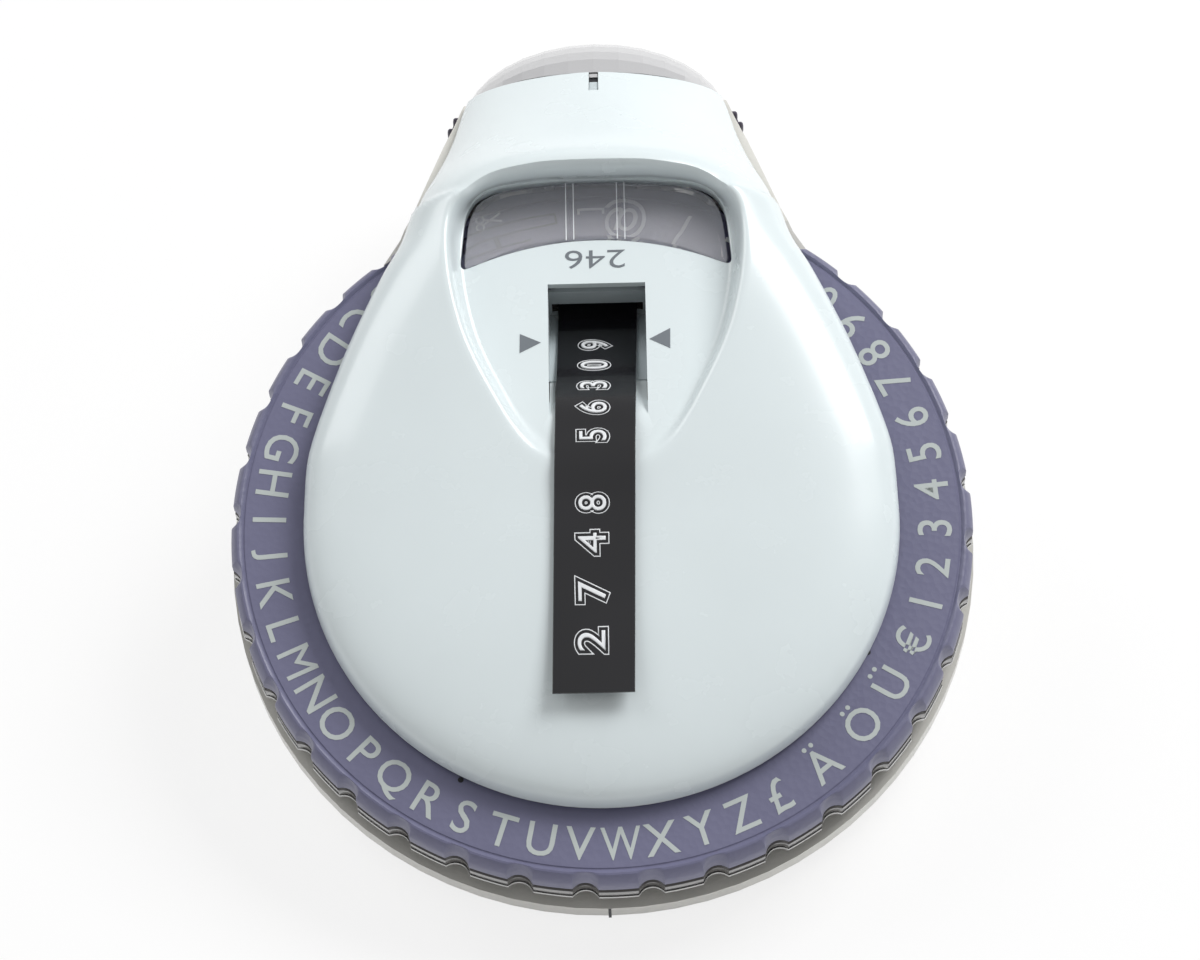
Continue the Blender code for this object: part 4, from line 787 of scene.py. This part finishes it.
def make_dial_signs():
    """The signs for a space and for cutting the tape, which lie under the window."""
    # The space sign and the scissors are drawn in the brighter ink, painted light against the shade under the lens.
    space = [polar(38.3, 92.9), polar(38.8, 92.9), polar(38.8, 90.9), polar(38.8, 88.7), polar(38.3, 88.7)]
    strokes("dial_space_sign", [space], 0.28, PRINT_LIFT, ink_painted_light, "dial")
    grips = [ring_line(polar(r, a), 0.42) for r, a in ((39.0, 109.6), (39.9, 109.2))]
    blades = [[polar(39.15, 109.0), polar(39.9, 105.9)], [polar(39.75, 108.7), polar(39.0, 105.9)]]
    strokes("dial_scissors", grips + blades, 0.22, PRINT_LIFT, ink_painted_light, "dial")
    box = [polar(36.9, 114.0), polar(38.6, 113.2)] + [polar(38.6, a) for a in (109, 105, 101, 97)]
    box += [polar(37.4, 96.9)] + [polar(37.3, a) for a in (100, 104, 108, 111)] + [polar(36.9, 114.0)]
    stem = [[polar(37.2, 107.6), polar(36.0, 107.6)], [polar(37.2, 108.1), polar(36.0, 108.1)]]
    foot = [polar(35.9, a) for a in (114, 111, 108, 105, 102)]
    # The tape sign is moulded in the dial's plastic, drawn as dark strokes of painted shade.
    strokes("dial_tape_sign", [box, foot] + stem, 0.28, PRINT_LIFT, sign_relief_painted_shade, "dial")


def make_cover_marks():
    """Two arrows that point at the letter being pressed, and a plain numeral."""
    def face(y):
        return panel_floor(y) + 0.005

    for name, corners in (
        ("left", ((-8.7, 21.3), (-8.75, 18.85), (-6.35, 20.14))),
        ("right", ((8.2, 21.6), (8.15, 19.05), (5.83, 20.28))),
    ):
        points, faces = prism(corners, face, lambda y: panel_floor(y) + 0.04)
        piece(f"arrow_{name}", points, faces, mark_ink, "press_head")
    lean = math.atan2(PANEL_REAR_Z - PANEL_FRONT_Z, PANEL_FRONT_L)
    place = (-0.1, NUMERAL_Y, panel_floor(NUMERAL_Y) + PRINT_LIFT)
    high, thin, wide = 2.4, -0.02, 1.4
    flat_text("tape_numeral", "246", high, mark_ink, "press_head", place, math.pi, thin, wide, lean)


# ---- Tape ------------------------------------------------------------------------------------------------

def tape_height(y):
    """Height of the tape's middle along its way out of the slot and over the cover."""
    lift = TAPE_T / 2 + CLEAR
    bend = SLOT_FRONT_Y - WALL
    table = (
        (TAPE_END_Y, crown(TAPE_END_Y) + lift + TAPE_END_LIFT),
        (TAPE_END_Y / 2, crown(TAPE_END_Y / 2) + lift + TAPE_END_LIFT / 3),
        (0.0, crown(0) + lift + TAPE_END_LIFT / 4),
        (bend / 2, crown(bend / 2) + lift + TAPE_END_LIFT / 3),
        (bend, ramp(SLOT_FRONT_Y) + lift + TAPE_END_LIFT / 2),
        (SLOT_FRONT_Y + WALL, ramp(SLOT_FRONT_Y + WALL) + 2 * lift),
        (SLOT_REAR_Y - 2 * WALL, ramp(SLOT_REAR_Y - 2 * WALL) + lift),
        (DIAL_BORE_R, TAPE_Z),
        (DIAL_R - CLEAR, TAPE_Z),
    )
    return smooth_value(table, y)


def tape_middle(y):
    """How far aside the tape's middle line lies: it leans to the left past the slot."""
    return TAPE_LEAN * min(y - SLOT_REAR_Y, 0.0)


def tape_slope(y):
    """The tape's angle to the dial's plane at y."""
    return math.atan2(tape_height(y + 0.2) - tape_height(y - 0.2), 0.4)


def make_tape():
    """The finished label: a glossy strip with its numbers raised and whitened along their edges."""
    half, thick = TAPE_W / 2, TAPE_T / 2
    section = (
        (-half, -0.6), (-half, 0.4), (-half + 0.06, 1.0), (0.0, TAPE_CROWN), (half - 0.06, 1.0), (half, 0.4),
        (half, -0.6), (0.0, -1.0),
    )
    loops = []
    length = DIAL_BORE_R - TAPE_END_Y
    rows = [TAPE_END_Y + length * i / TAPE_STEPS for i in range(TAPE_STEPS + 1)] + [DIAL_R - CLEAR]
    for y in rows:
        middle, height = tape_middle(y), tape_height(y)
        back, up = math.sin(tape_slope(y)), math.cos(tape_slope(y))
        loops.append([(middle + x, y - thick * share * back, height + thick * share * up) for x, share in section])
    points, faces = lofted(loops)
    strip = piece("label_strip", points, faces, tape_plastic, "press_head", 40)
    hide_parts("tape_strip")
    for i, (figure, y, width) in enumerate(TAPE_FIGURES):
        emboss(f"label_figure_{i}", figure, y, width)


def emboss(name, figure, y, width):
    """One raised number on the tape, read from the tape's end, with a stressed rim round it."""
    slope = tape_slope(y)
    across = tape_middle(y) + TAPE_FIGURE_H / 2 - 0.3
    place = (across, y - 0.12 * math.sin(slope), tape_height(y) + TAPE_T / 2 * TAPE_CROWN)
    lie = Matrix.Rotation(slope, 4, "X") @ Matrix.Rotation(math.pi / 2, 4, "Z")
    lie = lie @ Matrix.Diagonal((width, 1, 1, 1))
    for part, offset, fill, depth, extrude in EMBOSSING:
        curve = text_curve(name + part, figure, TAPE_FIGURE_H, 5)
        curve.fill_mode = fill
        curve.offset = offset
        curve.bevel_depth = depth
        curve.bevel_resolution = 2
        curve.extrude = extrude
        text_piece(f"{name}_{part}", curve, place, lie, white_stress, "press_head", True)


def make_small_parts():
    """The ramp's face under the label, the notch's filling with its groove and square hole in painted shade, a black
    strip that paints the shade in the base's front seam, and two marks on the dial.
    """
    half = SLOT_HALF_W - 0.05
    crest = half - 1.2
    rows = [SLOT_FRONT_Y - 3.2 + (SLOT_REAR_Y - SLOT_FRONT_Y + 3.0) * i / 12 for i in range(13)]
    loops = []
    for y in rows:
        high = min(ramp(y), panel_floor(y)) - 0.01
        low, top = high - 0.5, high + 0.03
        section = ((-half, low), (half, low), (half, high), (crest, top), (-crest, top), (-half, high))
        loops.append([(x, y, z) for x, z in section])
    points, faces = lofted(loops)
    piece("slot_ramp", points, faces, cover_plastic, "press_head")
    # The notch's groove and square hole are dark pieces that paint its shade; its tip takes the door's colour.
    for name, front, rear, drop, material in (
        ("groove", SEAM_Y - 3.9, SEAM_Y - 1.95, 0.35, cover_painted_shade),
        ("square", SEAM_Y - 1.95, SEAM_Y - 0.95, 0.5, painted_shade_and_dot_ink),
        ("tip", SEAM_Y - 0.95, SEAM_Y - 0.2, 0.3, door_plastic),
    ):
        outline = rectangle(0.5, front, rear)
        points, faces = prism(outline, lambda y: crown(y) - 1.2, lambda y: crown(y) - drop)
        piece(f"notch_{name}", points, faces, material, "press_head")
    # A black strip that paints the shade inside the base's front seam.
    seam = rectangle(0.16, -BASE_R - 0.03, -BASE_R + 0.4)
    points, faces = prism(seam, BASE_TOP - 3.3, BASE_TOP - 0.05)
    piece("base_seam_painted_shade", points, faces, painted_shade_and_dot_ink, "base")
    for name, degrees, radius in (("left", -118.4, 33.5), ("right", -28.4, 33.1)):
        dot = ring_line(polar(radius, degrees), 0.32)[:-1]
        points, faces = prism(dot, 0.01, 0.05)
        piece(f"dial_dot_{name}", points, faces, painted_shade_and_dot_ink, "dial")


# Each rib's place across and along the tail, and its rows: how far out, and the share of its size there
RIB_PLACES = ((16.35, 57.5), (17.0, 56.1))
RIB_ROWS = ((-0.3, 1.0), (0.3, 1.0), (0.48, 0.8), (0.55, 0.4))
RIB_HALF_L = 0.45
RIB_HALF_H = 1.4
RIB_Z = -14.9


def make_latch_ribs():
    """Two dark ribs on each latch button, rounded, standing out of the tail's side."""
    angles = [2 * math.pi * k / 16 for k in range(16)]
    for body, side in (("left_latch", -1), ("right_latch", 1)):
        for i, (across, along) in enumerate(RIB_PLACES):
            loops = []
            for out, share in RIB_ROWS:
                ring = []
                for angle in angles:
                    y = along + RIB_HALF_L * share * math.cos(angle)
                    ring.append((side * (across + out), y, RIB_Z + RIB_HALF_H * share * math.sin(angle)))
                loops.append(ring)
            points, faces = lofted(loops)
            piece(f"{body}_rib_{i}", points, faces, dark_plastic, body, 60)


# ---- Window lens -----------------------------------------------------------------------------------------

# The dark sheet that paints the shade under the hood's lip, over the dial's rim, starts at this radius
RIM_SHADE_R = 39.5
# The lens's two ribs are not modelled; strips paint the highlights on their edges: each rib's name and the places
# across of its two edges
LENS_RIBS = (("left", -3.33, -2.47), ("right", 2.47, 3.33))
LENS_RIB_W = 0.11


def make_lens():
    """A clear plate flush with the panel, a dark sheet under its rear that paints the hood's shade, and pale strips
    that paint the highlights on the edges of two low ribs.
    """
    def under_lens(gap):
        return lambda y: panel_floor(y) - LENS_T - gap

    outline = smooth_window(CLEAR)
    inner = smooth_window(CLEAR + 0.35)
    loops = [
        [(x, y, panel_floor(y) - LENS_T) for x, y in outline],
        [(x, y, panel_floor(y) - 0.25) for x, y in outline],
        [(x * 0.99, y, panel_floor(y)) for x, y in inner],
    ]
    points, faces = lofted(loops)
    lens = piece("window_plate", points, faces, lens_plastic, "press_head", 30)
    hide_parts("window_lens")
    # A dark sheet under the lens's rear paints the shade that the hood's lip casts over the dial's rim.
    shade = [(x, y) for x, y in smooth_window(2 * CLEAR) if y > 0 and math.hypot(x, y) > RIM_SHADE_R]
    ends = [math.atan2(shade[k][1], shade[k][0]) for k in (-1, 0)]
    turns = [ends[0] + (ends[1] - ends[0]) * k / 40 for k in range(41)]
    shade += [(RIM_SHADE_R * math.cos(turn), RIM_SHADE_R * math.sin(turn)) for turn in turns]
    points, faces = prism(shade, under_lens(0.5), under_lens(0.2))
    piece("window_shade", points, faces, dark_plastic, "press_head")
    rear = WINDOW_REAR_Y - 0.45
    # Each rib edge is a pale strip of painted highlight on the lens.
    for name, *sides in LENS_RIBS:
        for edge, x in zip("ab", sides):
            line = [(x, math.sqrt(WINDOW_FRONT_R ** 2 - x ** 2) + CLEAR), (x, rear)]
            strokes(
                f"lens_rib_{name}_{edge}", [line], LENS_RIB_W, lambda y: panel_floor(y) + 0.005, rib_painted_highlight,
                "press_head",
            )


# ---- Camera, light and floor -----------------------------------------------------------------------------

def set_camera():
    """The photograph's camera, placed in the dial's frame."""
    camera = bpy.data.objects.new("camera", bpy.data.cameras.new("camera"))
    bpy.context.collection.objects.link(camera)
    camera.data.lens = CAMERA_LENS
    camera.data.sensor_width = 36.0
    camera.data.clip_start = 0.01
    camera.data.clip_end = 20.0
    back = Vector((0, -math.cos(CAMERA_RISE), math.sin(CAMERA_RISE)))
    right = Vector((1, 0, 0))
    up = back.cross(right)
    lean_right = right * math.cos(CAMERA_ROLL) + up * math.sin(CAMERA_ROLL)
    lean_up = up * math.cos(CAMERA_ROLL) - right * math.sin(CAMERA_ROLL)
    turn = Matrix.Rotation(CAMERA_YAW, 3, "Z")
    axes = Matrix((turn @ lean_right, turn @ lean_up, turn @ back)).transposed()
    place = turn @ (CAMERA_TARGET + back * CAMERA_DISTANCE)
    lean = DIAL_FRAME.to_3x3().normalized()
    camera.matrix_world = Matrix.Translation(DIAL_FRAME @ place) @ (lean @ axes).to_4x4()
    bpy.context.scene.camera = camera


# Each lamp's place, size and power in watts. All aim at LAMP_AIM
LAMPS = (
    ("key", (0.42, 0.28, 0.62), (0.4, 0.4), 4.9),
    ("fill", (-0.5, 0.3, 0.55), (0.3, 0.5), 1.5),
    ("front", (0.15, -0.8, 0.45), (0.5, 0.3), 0.1),
)
LAMP_AIM = (0, 0, 0.02)
WORLD_STRENGTH = 0.41
FLOOR_GLOW = 0.8
FLOOR_REACH = 3.0


def area_light(name, place, size, power):
    lamp = bpy.data.lights.new(name, "AREA")
    lamp.shape = "RECTANGLE"
    lamp.size, lamp.size_y = size
    lamp.energy = power
    light = bpy.data.objects.new(name, lamp)
    bpy.context.collection.objects.link(light)
    light.location = place
    light.rotation_euler = (Vector(LAMP_AIM) - Vector(place)).to_track_quat("-Z", "Y").to_euler()


def make_floor():
    """White paper that keeps the shadow and glows a little where a camera, glossy or transmission ray sees it."""
    floor_material = plastic("studio_paper", (0.90, 0.90, 0.90), 0.7, (0.995, 1.005))
    links = floor_material.node_tree.links
    paper = floor_material.node_tree.nodes["Principled BSDF"]
    finish = floor_material.node_tree.nodes["Material Output"]
    rays = linked(floor_material, "ShaderNodeLightPath")
    glossy = linked(floor_material, "ShaderNodeMath", {"operation": "MAXIMUM"})
    seen = linked(floor_material, "ShaderNodeMath", {"operation": "MAXIMUM"})
    links.new(rays.outputs["Is Camera Ray"], glossy.inputs[0])
    links.new(rays.outputs["Is Glossy Ray"], glossy.inputs[1])
    links.new(glossy.outputs[0], seen.inputs[0])
    links.new(rays.outputs["Is Transmission Ray"], seen.inputs[1])
    share = linked(floor_material, "ShaderNodeMath", {"operation": "MULTIPLY"})
    links.new(seen.outputs[0], share.inputs[0])
    share.inputs[1].default_value = FLOOR_GLOW
    glow = linked(floor_material, "ShaderNodeEmission", Color=(1, 1, 1, 1), Strength=1.0)
    mix = linked(floor_material, "ShaderNodeMixShader", Fac=share.outputs[0])
    links.new(paper.outputs[0], mix.inputs[1])
    links.new(glow.outputs[0], mix.inputs[2])
    links.new(mix.outputs[0], finish.inputs["Surface"])
    mesh = bpy.data.meshes.new("floor")
    corners = [(x * FLOOR_REACH, y * FLOOR_REACH, 0) for x, y in ((-1, -1), (1, -1), (1, 1), (-1, 1))]
    mesh.from_pydata(corners, [], [(0, 1, 2, 3)])
    floor = bpy.data.objects.new("floor", mesh)
    mesh.materials.append(floor_material)
    bpy.context.collection.objects.link(floor)


def make_studio():
    make_floor()
    world = bpy.data.worlds.new("studio")
    world.use_nodes = True
    world.node_tree.nodes["Background"].inputs["Color"].default_value = (1, 1, 1, 1)
    world.node_tree.nodes["Background"].inputs["Strength"].default_value = WORLD_STRENGTH
    bpy.context.scene.world = world
    for name, place, size, power in LAMPS:
        area_light(name, place, size, power)


dress_cad_nodes()
make_cover()
make_dials()
make_letters()
make_dial_signs()
make_cover_marks()
make_tape()
make_small_parts()
make_latch_ribs()
make_lens()
set_camera()
make_studio()
bpy.context.scene.view_settings.view_transform = "Standard"
